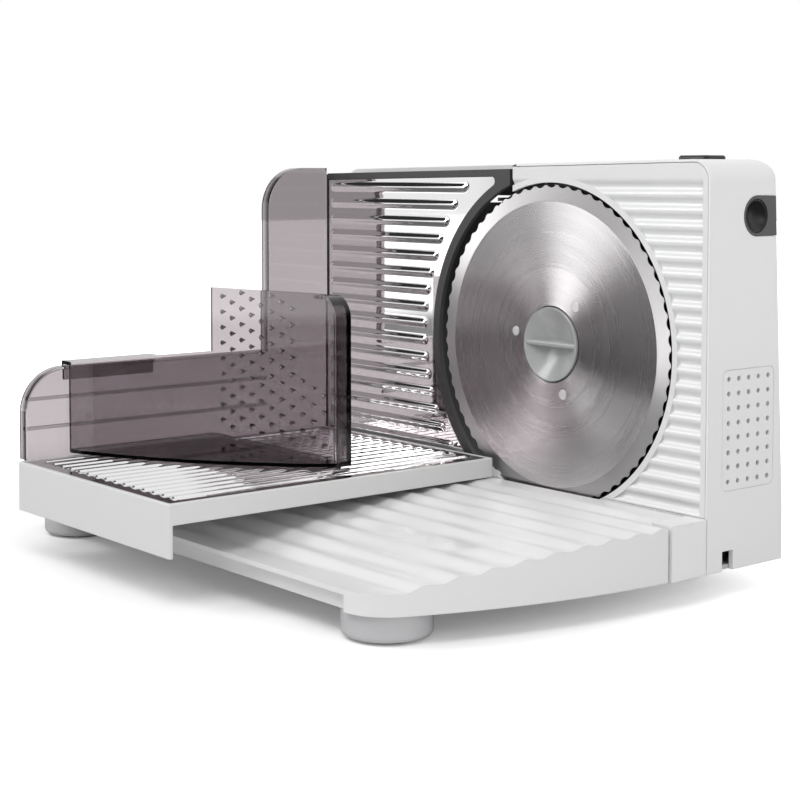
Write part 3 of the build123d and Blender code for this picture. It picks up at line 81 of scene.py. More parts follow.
class Graph:
    """A node tree, with short calls for the nodes this scene uses."""

    def __init__(self, tree):
        self.tree = tree

    def node(self, kind, **settings):
        made = self.tree.nodes.new(kind)
        for key, value in settings.items():
            setattr(made, key, value)
        return made

    def link(self, source, target):
        self.tree.links.new(source, target)

    def parts(self, vector):
        """The X, Y and Z of a vector socket."""
        made = self.node("ShaderNodeSeparateXYZ")
        self.link(vector, made.inputs[0])
        return made.outputs

    def math(self, operation, first, second=None, clamp=False):
        made = self.node("ShaderNodeMath", operation=operation, use_clamp=clamp)
        for socket, value in zip(made.inputs, (first, second)):
            if value is None:
                continue
            if isinstance(value, (int, float)):
                socket.default_value = value
            else:
                self.link(value, socket)
        return made.outputs[0]

    def vector(self, operation, first, second=None):
        made = self.node("ShaderNodeVectorMath", operation=operation)
        for socket, value in zip(made.inputs, (first, second)):
            if value is None:
                continue
            if isinstance(value, (tuple, list, Vector)):
                socket.default_value = value
            else:
                self.link(value, socket)
        return made.outputs["Value"] if operation in ("LENGTH", "DOT_PRODUCT") else made.outputs[0]

    def noise(self, place, scale, detail=2.0, roughness=0.5, stretch=None):
        """Noise, scale in features per metre, optionally stretched along an axis."""
        if stretch:
            place = self.vector("MULTIPLY", place, stretch)
        made = self.node("ShaderNodeTexNoise")
        made.inputs["Scale"].default_value = scale
        made.inputs["Detail"].default_value = detail
        made.inputs["Roughness"].default_value = roughness
        self.link(place, made.inputs["Vector"])
        return made.outputs["Fac"]

    def remap(self, value, low, high, new_low, new_high):
        made = self.node("ShaderNodeMapRange")
        self.link(value, made.inputs["Value"])
        for key, number in (
            ("From Min", low), ("From Max", high), ("To Min", new_low), ("To Max", new_high)
        ):
            made.inputs[key].default_value = number
        return made.outputs["Result"]

    def mix(self, share, first, second):
        made = self.node("ShaderNodeMix", data_type="RGBA")
        sockets = (made.inputs["Factor"], made.inputs[6], made.inputs[7])
        for socket, value in zip(sockets, (share, first, second)):
            if isinstance(value, (int, float)):
                socket.default_value = value
            elif isinstance(value, (tuple, list)):
                socket.default_value = (*value, 1.0)[:4]
            else:
                self.link(value, socket)
        return made.outputs[2]

    def bump(self, height, strength, distance, normal=None):
        made = self.node("ShaderNodeBump")
        made.inputs["Strength"].default_value = strength
        made.inputs["Distance"].default_value = distance
        self.link(height, made.inputs["Height"])
        if normal is not None:
            self.link(normal, made.inputs["Normal"])
        return made.outputs["Normal"]

    def step(self, value, low, high):
        """0 below low, 1 above high, smooth between; low may be the higher number."""
        made = self.node("ShaderNodeMapRange", interpolation_type="SMOOTHSTEP")
        self.link(value, made.inputs["Value"])
        made.inputs["From Min"].default_value = low
        made.inputs["From Max"].default_value = high
        return made.outputs["Result"]

    def any_of(self, *shares):
        """The largest of several shares."""
        largest = shares[0]
        for share in shares[1:]:
            largest = self.math("MAXIMUM", largest, share)
        return largest

    def all_of(self, *shares):
        """The product of several shares."""
        product = shares[0]
        for share in shares[1:]:
            product = self.math("MULTIPLY", product, share)
        return product


class Shader(Graph):
    """A material whose surface is one principled shader."""

    def __init__(self, name):
        self.material = bpy.data.materials.new(name)
        self.material.use_nodes = True
        super().__init__(self.material.node_tree)
        self.surface = self.tree.nodes["Principled BSDF"]
        self.output = self.tree.nodes["Material Output"]

    def set(self, **values):
        """Sets the surface's own sockets; an underscore stands for a space."""
        for key, value in values.items():
            self.surface.inputs[key.replace("_", " ")].default_value = value

    def place(self):
        """The point being shaded, in the row frame, in metres."""
        return self.node("ShaderNodeTexCoord").outputs["Object"]

    def facing(self):
        """How much the surface faces along X, Y and Z, without its sign."""
        normal = self.node("ShaderNodeNewGeometry").outputs["True Normal"]
        return self.parts(self.vector("ABSOLUTE", normal))

    def eased(self, radius):
        """The normal with edges eased over a radius in millimetres."""
        made = self.node("ShaderNodeBevel", samples=4)
        made.inputs["Radius"].default_value = radius * MM
        return made.outputs["Normal"]


def shade(colour, amount):
    """A colour, darker (below 1) or lighter (above 1)."""
    return tuple(min(1.0, channel * amount) for channel in colour)


CLOUDING = 0.012
COAT_ROUGHNESS = 0.12
PLASTIC_IOR = 1.46
# the usual grain of moulded plastic: features per metre, and height in millimetres
GRAIN = 900.0
GRAIN_HEIGHT = 0.02


def grained(shader, colour, roughness, grain, grain_height, ease):
    """Gives a shader faint clouding, a fine grain and uneven gloss; returns its colour."""
    place = shader.place()
    clouds = shader.noise(place, 14.0, detail=3.0)
    tone = shader.mix(clouds, shade(colour, 1 - CLOUDING), shade(colour, 1 + CLOUDING))
    fine = shader.noise(place, grain, detail=2.0)
    handled = shader.noise(place, 30.0, detail=3.0)
    gloss = shader.remap(handled, 0.3, 0.7, roughness * 0.96, roughness * 1.06)
    shader.link(gloss, shader.surface.inputs["Roughness"])
    normal = shader.eased(ease) if ease else None
    shader.link(
        shader.bump(fine, 0.5, grain_height * MM, normal=normal), shader.surface.inputs["Normal"]
    )
    return tone


def moulded(
    name, colour, roughness, grain=GRAIN, grain_height=GRAIN_HEIGHT, coat=0.0, ease=0.0
):
    """Moulded plastic, its edges eased over a radius in millimetres."""
    shader = Shader(name)
    tone = grained(shader, colour, roughness, grain, grain_height, ease)
    shader.link(tone, shader.surface.inputs["Base Color"])
    shader.set(Coat_Weight=coat, Coat_Roughness=COAT_ROUGHNESS, IOR=PLASTIC_IOR)
    return shader.material


# painted shade, black inside the blade's recess: how far it reaches from the blade's axis,
# to the left of it, and behind the front panel
RECESS_RADIUS = 111.0 * MM
RECESS_SIDE = -30.0 * MM
RECESS_DEPTH = 24.5 * MM
RECESS_SHADE = (0.012, 0.012, 0.012)


def moulded_housing(name, colour, roughness, coat):
    """The white housing, with painted shade making it black inside the blade's recess beside the
    fence.
    """
    shader = Shader(name)
    tone = grained(shader, colour, roughness, GRAIN, GRAIN_HEIGHT, ease=0.7)
    place = shader.place()
    arm = shader.parts(shader.vector("SUBTRACT", place, tuple(blade_centre)))
    flat = shader.node("ShaderNodeCombineXYZ")
    shader.link(arm["X"], flat.inputs["X"])
    shader.link(arm["Z"], flat.inputs["Z"])
    radius = shader.vector("LENGTH", flat.outputs[0])
    place = shader.parts(place)
    recess_back = face_y + RECESS_DEPTH
    # painted shade: the housing turns black where it lies inside the blade's recess
    recess = shader.all_of(
        shader.step(radius, RECESS_RADIUS + 1.0 * MM, RECESS_RADIUS),
        shader.step(arm["X"], RECESS_SIDE + 1.0 * MM, RECESS_SIDE),
        shader.step(place["Y"], recess_back + 0.5 * MM, recess_back),
        shader.step(place["Z"], plate_low.z - 0.5 * MM, plate_low.z + 0.5 * MM),
    )
    shader.link(shader.mix(recess, tone, RECESS_SHADE), shader.surface.inputs["Base Color"])
    shader.set(Coat_Weight=coat, Coat_Roughness=COAT_ROUGHNESS, IOR=PLASTIC_IOR)
    return shader.material


# painted shade: how far behind the front panel the fence's inner wall is painted black
FENCE_SHADE_DEPTH = 3.3 * MM
FENCE_SHADE = (0.010, 0.010, 0.010)


def moulded_fence(name, colour, roughness):
    """The fence's dark frame, with painted shade making its inner wall black."""
    shader = Shader(name)
    tone = grained(shader, colour, roughness, grain=1500.0, grain_height=0.03, ease=0.4)
    depth = shader.parts(shader.place())["Y"]
    shade_start = face_y + FENCE_SHADE_DEPTH
    # painted shade: the inner wall goes black behind shade_start
    inner = shader.step(depth, shade_start - 0.5 * MM, shade_start)
    shader.link(shader.mix(inner, tone, FENCE_SHADE), shader.surface.inputs["Base Color"])
    shader.set(IOR=PLASTIC_IOR)
    return shader.material


SCRATCH_STRENGTH = 0.2
SCRATCH_HEIGHT = 0.006 * MM
SCRATCH_STRETCH = 22.0


def polished(name, colour, roughness, along):
    """Polished sheet steel with hairline marks along one axis."""
    shader = Shader(name)
    place = shader.place()
    stretch = tuple(1.0 if axis == along else SCRATCH_STRETCH for axis in range(3))
    hair = shader.noise(place, 60.0, detail=6.0, roughness=0.65, stretch=stretch)
    stains = shader.noise(place, 12.0, detail=4.0)
    tone = shader.mix(stains, shade(colour, 0.98), shade(colour, 1.02))
    shader.link(tone, shader.surface.inputs["Base Color"])
    rough = shader.math(
        "ADD",
        shader.remap(hair, 0.35, 0.75, roughness * 0.8, roughness * 1.4),
        shader.remap(stains, 0.4, 0.8, 0.0, 0.01),
    )
    shader.link(rough, shader.surface.inputs["Roughness"])
    scratches = shader.bump(hair, SCRATCH_STRENGTH, SCRATCH_HEIGHT)
    shader.link(scratches, shader.surface.inputs["Normal"])
    shader.set(Metallic=1.0)
    return shader.material


BEVEL_WIDTH = 9.5 * MM
BRUSH_LINES = 2600.0
BRUSH_TURNS = 2.2
BRUSH_STRENGTH = 0.02
BRUSH_HEIGHT = 0.012 * MM
BRUSH_ANISOTROPY = 0.95
# painted shadow in the gap round the knob: its width and its black
GAP_WIDTH = 0.6 * MM
GAP_SHADOW = (0.01, 0.01, 0.01)
# painted highlight: the direction from the blade's axis in which the brushed face is painted
# brightest
FAN_HIGHLIGHT_DIRECTION = (0.34, 0.0, 0.94)
IN_BLADE_PLANE = (1.0, 0.0, 1.0)


def turned(name, colour, roughness, bevel_start, gap_radius):
    """Steel brushed in circles about the blade's axis.

    It has a paler ground bevel outside bevel_start and a painted shadow, a black ring in the gap
    round the knob at gap_radius.
    """
    shader = Shader(name)
    place = shader.place()
    arm = shader.vector("SUBTRACT", place, tuple(blade_centre))
    arm = shader.vector("MULTIPLY", arm, IN_BLADE_PLANE)
    radius = shader.vector("LENGTH", arm)
    around = shader.vector("NORMALIZE", shader.vector("CROSS_PRODUCT", arm, (0.0, 1.0, 0.0)))
    outward = shader.vector("NORMALIZE", arm)
    unit = shader.parts(around)
    spot = shader.node("ShaderNodeCombineXYZ")
    shader.link(shader.math("MULTIPLY", radius, BRUSH_LINES), spot.inputs["X"])
    shader.link(shader.math("MULTIPLY", unit["X"], BRUSH_TURNS), spot.inputs["Y"])
    shader.link(shader.math("MULTIPLY", unit["Z"], BRUSH_TURNS), spot.inputs["Z"])
    rings = shader.noise(spot.outputs[0], 1.0, detail=3.0, roughness=0.6)
    wide = shader.noise(spot.outputs[0], 0.09, detail=2.0)
    bevel = shader.step(radius, bevel_start - 0.3 * MM, bevel_start + 0.3 * MM)
    ground = shader.noise(place, 1500.0, detail=2.0)
    brushed = shader.mix(rings, shade(colour, 0.96), shade(colour, 1.03))
    # painted shadow: a black ring in the gap round the knob
    gap_edge = gap_radius + GAP_WIDTH
    gap = shader.step(radius, gap_edge + 0.4 * MM, gap_edge)
    # painted highlight: the brushed face is painted darker away from the bright fans along the
    # highlight direction, standing in for its reflections; this stays in place as the blade turns
    spoke = shader.node("ShaderNodeNewGeometry").outputs["Position"]
    spoke = shader.vector("SUBTRACT", spoke, tuple(blade_centre))
    spoke = shader.vector("MULTIPLY", spoke, IN_BLADE_PLANE)
    upright = shader.vector("DOT_PRODUCT", shader.vector("NORMALIZE", spoke), FAN_HIGHLIGHT_DIRECTION)
    painted_fans = shader.step(shader.math("ABSOLUTE", upright), 0.15, 0.95)
    brushed = shader.mix(painted_fans, shade(colour, 0.50), brushed)
    brushed = shader.mix(gap, brushed, GAP_SHADOW)
    bright = shader.mix(ground, shade(colour, 0.66), shade(colour, 0.82))
    shader.link(shader.mix(bevel, brushed, bright), shader.surface.inputs["Base Color"])
    rough = shader.math(
        "ADD",
        shader.remap(rings, 0.3, 0.7, roughness * 0.95, roughness * 1.05),
        shader.remap(wide, 0.3, 0.7, -0.02, 0.02),
    )
    rough = shader.math("ADD", rough, shader.math("MULTIPLY", bevel, 0.12))
    shader.link(rough, shader.surface.inputs["Roughness"])
    # the face is flat, though the sheet behind it is dished
    normal = shader.node("ShaderNodeNewGeometry").outputs["Normal"]
    front = shader.step(shader.parts(normal)["Y"], -0.93, -0.97)
    level = shader.vector("NORMALIZE", shader.mix(front, normal, (0.0, -1.0, 0.0)))
    marks = shader.bump(rings, BRUSH_STRENGTH, BRUSH_HEIGHT, normal=level)
    shader.link(marks, shader.surface.inputs["Normal"])
    along = shader.mix(bevel, outward, around)
    shader.link(along, shader.surface.inputs["Tangent"])
    shader.set(Metallic=1.0, Anisotropic=BRUSH_ANISOTROPY)
    return shader.material


def smoked(name, colour, edge_shade_share):
    """Smoke-tinted clear plastic with a few handling marks.

    edge_shade_share says where painted shade stands for light lost along the plastic: cut edges,
    ribs and points are painted dark.
    """
    shader = Shader(name)
    place = shader.place()
    marks = shader.noise(place, 80.0, detail=5.0, roughness=0.7)
    tint = shader.mix(shader.noise(place, 9.0), shade(colour, 0.98), shade(colour, 1.02))
    edges = edge_shade_share(shader)
    # painted shade: the edges, ribs and spikes are darkened
    shader.link(shader.mix(edges, tint, shade(colour, 0.10)), shader.surface.inputs["Base Color"])
    shader.link(shader.remap(marks, 0.45, 0.8, 0.02, 0.06), shader.surface.inputs["Roughness"])
    shader.set(Transmission_Weight=1.0, IOR=1.47)
    # light goes on through the plastic, tinted, rather than stopping in it
    rays = shader.node("ShaderNodeLightPath")
    passing = shader.math(
        "ADD", rays.outputs["Is Shadow Ray"], rays.outputs["Is Diffuse Ray"], clamp=True
    )
    clear = shader.node("ShaderNodeBsdfTransparent")
    clear.inputs["Color"].default_value = (*[math.sqrt(channel) for channel in colour], 1.0)
    both = shader.node("ShaderNodeMixShader")
    shader.link(passing, both.inputs[0])
    shader.link(shader.surface.outputs[0], both.inputs[1])
    shader.link(clear.outputs[0], both.inputs[2])
    shader.link(both.outputs[0], shader.output.inputs["Surface"])
    return shader.material


# over this distance the painted shade on an edge of the smoky plastic fades
FADE = 0.2 * MM
GUARD_RIB = 2.0 * MM
RIB_SHADE = 0.75


def guard_edge_shade(shader):
    """Painted shade on the guard's cut edge and its two ribs; its outer flange stays pale."""
    facing = shader.facing()
    place = shader.parts(shader.place())
    sheet = shader.step(place["X"], guard_face - FADE, guard_face)
    cut = shader.all_of(shader.step(facing["X"], 0.7, 0.5), sheet)
    ribs = shader.all_of(
        shader.step(place["X"], guard_face - GUARD_RIB - FADE, guard_face - GUARD_RIB),
        shader.step(place["X"], guard_face - FADE, guard_face - 2 * FADE),
    )
    # painted shade on the ribs, lighter than on the cut edge
    ribs = shader.math("MULTIPLY", ribs, RIB_SHADE)
    return shader.any_of(cut, ribs)


# between these distances in front of the front panel, the painted shade on the pusher's side edge
# is lighter
PALE_BACK = 95.5 * MM
PALE_FRONT = 105.0 * MM
PALE_SHADE_SHARE = 0.3
WEB_SHADE = 0.35


def pusher_edge_shade(shader):
    """Painted shade on the pusher's upper and side edges, its hook's top, the floor's front and the
    spikes.
    """
    facing = shader.facing()
    place = shader.parts(shader.place())
    spikes = shader.step(place["Y"], spike_root, spike_root + FADE)
    pale_back, pale_front = face_y - PALE_BACK, face_y - PALE_FRONT
    rim = shader.any_of(
        shader.step(place["Y"], pale_back - FADE, pale_back),
        shader.step(place["Y"], pale_front + FADE, pale_front),
    )
    side = shader.all_of(
        shader.step(facing["X"], 0.5, 0.7),
        shader.step(place["X"], pusher_side - 2 * FADE, pusher_side),
        shader.remap(rim, 0.0, 1.0, PALE_SHADE_SHARE, 1.0),
    )
    top = shader.all_of(
        shader.step(facing["Z"], 0.5, 0.7),
        shader.step(place["Z"], hook_level - 2 * FADE, hook_level),
    )
    floor_edge = shader.all_of(
        shader.step(facing["Z"], 0.5, 0.3),
        shader.step(place["Z"], floor_level, floor_level - 2 * FADE),
    )
    web = shader.all_of(
        shader.step(facing["Z"], 0.5, 0.7),
        shader.step(place["Z"], floor_level, floor_level - FADE),
    )
    web = shader.math("MULTIPLY", web, WEB_SHADE)
    return shader.any_of(spikes, side, top, floor_edge, web)


# ---------------------------------------------------------------- materials

white_shell = moulded_housing("white_shell", (0.80, 0.80, 0.80), 0.34, coat=0.1)
white_panel = moulded("white_panel", (0.72, 0.72, 0.725), 0.30, coat=0.2)
white_carriage = moulded("white_carriage", (0.70, 0.705, 0.70), 0.32, coat=0.2, ease=0.7)
white_base = moulded("white_base", (0.75, 0.755, 0.75), 0.30, coat=0.2, ease=0.7)
black_well = moulded("black_well", (0.010, 0.010, 0.010), 0.5)
dark_fence = moulded_fence("dark_fence", (0.042, 0.041, 0.042), 0.42)
dark_surround = moulded(
    "dark_surround", (0.085, 0.087, 0.085), 0.45, grain=1500.0, grain_height=0.03
)
black_button = moulded(
    "black_button", (0.010, 0.010, 0.010), 0.38, grain=1800.0, grain_height=0.03
)
grey_foot = moulded("grey_foot", (0.50, 0.50, 0.51), 0.42, grain=1200.0, grain_height=0.03)
grey_bottom = moulded("grey_bottom", (0.50, 0.50, 0.50), 0.5)
grey_knob = moulded("grey_knob", (0.36, 0.37, 0.365), 0.26, grain=1500.0, coat=0.3)
nylon = moulded("nylon", (0.70, 0.68, 0.62), 0.45)
black_case = moulded("black_case", (0.02, 0.02, 0.02), 0.45)
rubber = moulded("rubber", (0.06, 0.06, 0.06), 0.75, grain=700.0, grain_height=0.06)
ferrite = moulded("ferrite", (0.04, 0.04, 0.04), 0.6)
winding = moulded("winding", (0.25, 0.12, 0.05), 0.35)
fence_steel = polished("fence_steel", (0.82, 0.82, 0.82), 0.035, along=0)
table_steel = polished("table_steel", (0.80, 0.80, 0.80), 0.05, along=1)
zinc = polished("zinc", (0.55, 0.55, 0.54), 0.35, along=0)
blade_steel = turned(
    "blade_steel", (0.60, 0.585, 0.59), 0.26, blade_radius - BEVEL_WIDTH, knob_radius
)
pin_steel = polished("pin_steel", (0.60, 0.60, 0.60), 0.2, along=1)
screw_steel = polished("screw_steel", (0.62, 0.62, 0.62), 0.25, along=0)
rivet_steel = polished("rivet_steel", (0.74, 0.73, 0.74), 0.45, along=0)
brass = polished("brass", (0.70, 0.52, 0.22), 0.25, along=1)
guard_smoke = smoked("guard_smoke", (0.31, 0.28, 0.29), guard_edge_shade)
pusher_smoke = smoked("pusher_smoke", (0.36, 0.325, 0.34), pusher_edge_shade)

finishes = {
    "housing_shell": white_shell,
    "front_panel": white_panel,
    "blade_well": black_well,
    "vent_panel": white_shell,
    "gear_plate": zinc,
    "plate_screws": screw_steel,
    "blade_axle": pin_steel,
    "idler_pin": pin_steel,
    "blade_disc": blade_steel,
    "blade_gear": nylon,
    "blade_rivets": rivet_steel,
    "blade_lock_knob": grey_knob,
    "idler_gear": nylon,
    "drive_pinion": brass,
    "motor_can": zinc,
    "motor_end_cap": black_case,
    "motor_bearings": pin_steel,
    "motor_magnets": ferrite,
    "motor_rotor": winding,
    "button_surround": dark_surround,
    "lock_button": black_button,
    "power_button": black_button,
    "power_switch": black_case,
    "lock_switch": black_case,
    "fence_frame": dark_fence,
    "fence_plate": fence_steel,
    "fence_rods": pin_steel,
    "fence_screws": screw_steel,
    "rod_bushes": nylon,
    "fence_rack": nylon,
    "dial_pinion": nylon,
    "thickness_dial": black_button,
    "base_tray": white_base,
    "base_plate": grey_bottom,
    "housing_bottom": grey_bottom,
    "foot_front_right": grey_foot,
    "foot_front_left": grey_foot,
    "foot_rear_right": grey_foot,
    "foot_rear_left": grey_foot,
    "foot_pads": rubber,
    "foot_screws": screw_steel,
    "carriage_frame": white_carriage,
    "carriage_plate": table_steel,
    "carriage_guard": guard_smoke,
    "guard_screws": screw_steel,
    "front_glide": white_base,
    "rear_glides": nylon,
    "food_pusher": pusher_smoke,
}
for name, material in finishes.items():
    node = nodes[name]
    node.data.materials.clear()
    node.data.materials.append(material)

# ---------------------------------------------------------------- pieces made here


def rib_height(distance, half_width):
    """A rounded rib's share of its full height, at a distance from its middle line."""
    return 0.5 + 0.5 * math.cos(math.pi * min(distance / half_width, 1.0))


def from_segment(u, v, start, end, level):
    """Distance from a point to a rib's middle line, which runs from start to end at one level."""
    return math.hypot(u - min(max(u, start), end), v - level)


def dense_ends(start, end, reach, step):
    """Places from start to end, close together near both ends."""
    count = round(reach / step)
    near = [start + step * i for i in range(count + 1)]
    far = [end - step * (count - i) for i in range(count + 1)]
    return near + far


def pressed_sheet(name, rows, back, body, material):
    """A sheet from rows of front points; its flat back lies where back() puts the border."""
    across = len(rows[0])
    front = [point for row in rows for point in row]
    faces = [
        (r * across + c, r * across + c + 1, (r + 1) * across + c + 1, (r + 1) * across + c)
        for r in range(len(rows) - 1)
        for c in range(across - 1)
    ]
    last = (len(rows) - 1) * across
    border = (
        list(range(across))
        + [r * across + across - 1 for r in range(1, len(rows))]
        + [last + c for c in range(across - 2, -1, -1)]
        + [r * across for r in range(len(rows) - 2, 0, -1)]
    )
    total = len(front)
    points = front + [back(front[i]) for i in border]
    behind = [total + i for i in range(len(border))]
    for i, corner in enumerate(border):
        j = (i + 1) % len(border)
        faces.append((border[j], corner, behind[i], behind[j]))
    faces.append(tuple(reversed(behind)))
    return made_piece(name, points, faces, body, material)


SHARP_ANGLE = 40.0


def made_piece(name, points, faces, body, material):
    """A piece from points and faces, smooth but for its sharp edges."""
    mesh = bpy.data.meshes.new(name)
    mesh.from_pydata([tuple(point) for point in points], [], faces)
    mesh.validate()
    mesh.shade_smooth()
    mesh.set_sharp_from_angle(angle=math.radians(SHARP_ANGLE))
    mesh.materials.append(material)
    piece = bpy.data.objects.new(name, mesh)
    bpy.context.scene.collection.objects.link(piece)
    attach(piece, body)
    return piece


# the fence's pressed plate: ribs along X, the right side hollowed about the blade
FENCE_RIB_RISE = 1.0 * MM
FENCE_RIB_HALF = 3.3 * MM
FENCE_RIB_PITCH = 11.0 * MM
FENCE_RIBS = 16
FENCE_STEEL = 1.1 * MM
FENCE_ARC = 107.15 * MM
FENCE_TIP = 3.0 * MM
FENCE_TIP_STRETCH = 1.6
TOP_SLOPE = 0.015
# where the ribs start, and how far their right ends stay from the hollow side
FIRST_RIB_HEIGHT = 9.35 * MM
RIB_MARGIN = 2.85 * MM
RIB_CLEARANCE = 5.85 * MM
# above this height over the blade's axis, the ribs' ends draw back by this share of the rest
SPREAD_HEIGHT = 47.5 * MM
SPREAD_SHARE = 1 / 8
# the mesh: its rows are this high, and its columns are dense near both sides
ROW_HEIGHT = 0.6 * MM
TOP_ROWS = 8
DENSE_RIGHT, STEPS_RIGHT = 30.0 * MM, 46
DENSE_LEFT, STEPS_LEFT = 9.0 * MM, 17
fence_front = fence_low.y + FENCE_RIB_RISE
first_rib = fence_low.z + FIRST_RIB_HEIGHT
rib_start = fence_low.x + RIB_MARGIN


def arc_edge(z):
    """X of the plate's hollow side at a height."""
    return blade_centre.x - math.sqrt(max(FENCE_ARC**2 - (z - blade_centre.z) ** 2, 0.0))


def rib_finish(k):
    """X where the middle line of a fence rib ends on the right."""
    level = first_rib + FENCE_RIB_PITCH * k - blade_centre.z
    spread = max(0.0, level - SPREAD_HEIGHT) * SPREAD_SHARE
    reach = FENCE_ARC + RIB_CLEARANCE + spread
    return blade_centre.x - math.sqrt(reach**2 - level**2) - FENCE_RIB_HALF


def fence_depth(x, z):
    """Y of the plate's front."""
    k = round((z - first_rib) / FENCE_RIB_PITCH)
    if not 0 <= k < FENCE_RIBS:
        return fence_front
    rib_level = first_rib + FENCE_RIB_PITCH * k
    away = from_segment(x, z, rib_start + FENCE_RIB_HALF, rib_finish(k), rib_level)
    return fence_front - FENCE_RIB_RISE * rib_height(away, FENCE_RIB_HALF)


def fence_row(z, lean):
    """One row of the fence plate; lean lets the row follow the sloping top."""
    right = arc_edge(z)
    drop = fence_high.z - z
    if drop < FENCE_TIP:
        rounding = math.sqrt(max(FENCE_TIP**2 - (FENCE_TIP - drop) ** 2, 0.0))
        right -= FENCE_TIP_STRETCH * (FENCE_TIP - rounding)
    row = [right - DENSE_RIGHT * i / STEPS_RIGHT for i in range(STEPS_RIGHT + 1)]
    row += [fence_low.x + DENSE_LEFT * i / STEPS_LEFT for i in range(STEPS_LEFT + 1)]
    row.sort()
    points = []
    for x in row:
        level = z - lean * (right - x)
        points.append((x, fence_depth(x, level), level))
    return points


last_level = first_rib + FENCE_RIB_PITCH * (FENCE_RIBS - 1) + FENCE_RIB_HALF + 0.4 * MM
ribbed_height = last_level - fence_low.z
ribbed_rows = round(ribbed_height / ROW_HEIGHT)
fence_rows = [
    fence_row(fence_low.z + ribbed_height * i / ribbed_rows, 0.0) for i in range(ribbed_rows + 1)
]
for i in range(1, TOP_ROWS + 1):
    z = last_level + (fence_high.z - last_level) * i / TOP_ROWS
    fence_rows.append(fence_row(z, TOP_SLOPE * i / TOP_ROWS))
fence_sheet = pressed_sheet(
    "fence_sheet",
    fence_rows,
    lambda point: (point[0], fence_front + FENCE_STEEL, point[2]),
    "fence",
    fence_steel,
)
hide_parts("fence_plate")

# the carriage's pressed table: ribs along Y
TABLE_RIB_RISE = 1.2 * MM
TABLE_RIB_HALF = 2.5 * MM
TABLE_RIB_PITCH = 10.5 * MM
TABLE_RIBS = 15
TABLE_MARGIN = 7.0 * MM
# the mesh: columns on each half of a rib, and rows dense near the ribs' ends
HALF_RIB_STEPS = 7
ROWS_START = 6.0 * MM
ROWS_REACH = 5.0 * MM
ROW_STEP = 0.45 * MM
plate_top = plate_high.z - TABLE_RIB_RISE
plate_middle = (plate_low.x + plate_high.x) / 2
first_line = plate_middle - TABLE_RIB_PITCH * (TABLE_RIBS - 1) / 2
line_start = plate_low.y + TABLE_MARGIN + TABLE_RIB_HALF
line_end = plate_high.y - TABLE_MARGIN - TABLE_RIB_HALF


def table_level(x, y):
    """Z of the table's top."""
    k = min(max(round((x - first_line) / TABLE_RIB_PITCH), 0), TABLE_RIBS - 1)
    away = from_segment(y, x, line_start, line_end, first_line + TABLE_RIB_PITCH * k)
    return plate_top + TABLE_RIB_RISE * rib_height(away, TABLE_RIB_HALF)


columns = [plate_low.x]
for k in range(TABLE_RIBS):
    line = first_line + TABLE_RIB_PITCH * k
    columns += [
        line + TABLE_RIB_HALF * i / HALF_RIB_STEPS
        for i in range(-HALF_RIB_STEPS, HALF_RIB_STEPS + 1)
    ]
columns.append(plate_high.x)
inner_rows = dense_ends(
    plate_low.y + ROWS_START, plate_high.y - ROWS_START, ROWS_REACH, ROW_STEP
)
table_rows = [
    [(x, y, table_level(x, y)) for x in columns] for y in [plate_low.y, *inner_rows, plate_high.y]
]
table_sheet = pressed_sheet(
    "table_sheet",
    table_rows,
    lambda point: (point[0], point[1], plate_low.z),
    "carriage",
    table_steel,
)
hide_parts("carriage_plate")

# the knob that locks the blade: a dished cap with a thin grip across it
KNOB_RIM = 1.4 * MM
KNOB_DISH = 7.2 * MM
KNOB_BACK = 8.0 * MM
KNOB_SIDES = 96
DISH_STEPS = 14
RIM_ROUND = 0.35 * MM
RIM_DROP = 0.25 * MM
GRIP_HALF = 1.5 * MM
GRIP_DEPTH = 1.2 * MM
GRIP_ROUND = 0.8 * MM
GRIP_STEPS = 8
GRIP_FLARE = 1.25
GRIP_OVERLAP = 0.2 * MM
dish_radius = knob_radius - KNOB_RIM
# the cap's outline, from the dish's middle out over the rim to the back, as radius and Y
outline = [
    (dish_radius * share, knob_low.y + KNOB_DISH * (1.0 - share**2))
    for share in (i / DISH_STEPS for i in range(1, DISH_STEPS))
]
outline += [
    (dish_radius, knob_low.y + RIM_DROP),
    (dish_radius + RIM_ROUND, knob_low.y),
    (knob_radius - RIM_ROUND, knob_low.y),
    (knob_radius, knob_low.y + RIM_ROUND),
    (knob_radius, knob_low.y + KNOB_BACK),
]
knob_points = []
for radius, y in outline:
    for i in range(KNOB_SIDES):
        angle = 2 * math.pi * i / KNOB_SIDES
        x = blade_centre.x + radius * math.cos(angle)
        z = blade_centre.z + radius * math.sin(angle)
        knob_points.append((x, y, z))
knob_faces = []
for ring in range(len(outline) - 1):
    inner, outer = ring * KNOB_SIDES, (ring + 1) * KNOB_SIDES
    for i in range(KNOB_SIDES):
        j = (i + 1) % KNOB_SIDES
        knob_faces.append((inner + i, inner + j, outer + j, outer + i))
centre = len(knob_points)
knob_points.append((blade_centre.x, knob_low.y + KNOB_DISH, blade_centre.z))
knob_faces += [((i + 1) % KNOB_SIDES, i, centre) for i in range(KNOB_SIDES)]
rear = (len(outline) - 1) * KNOB_SIDES
knob_faces.append(tuple(rear + i for i in range(KNOB_SIDES)))
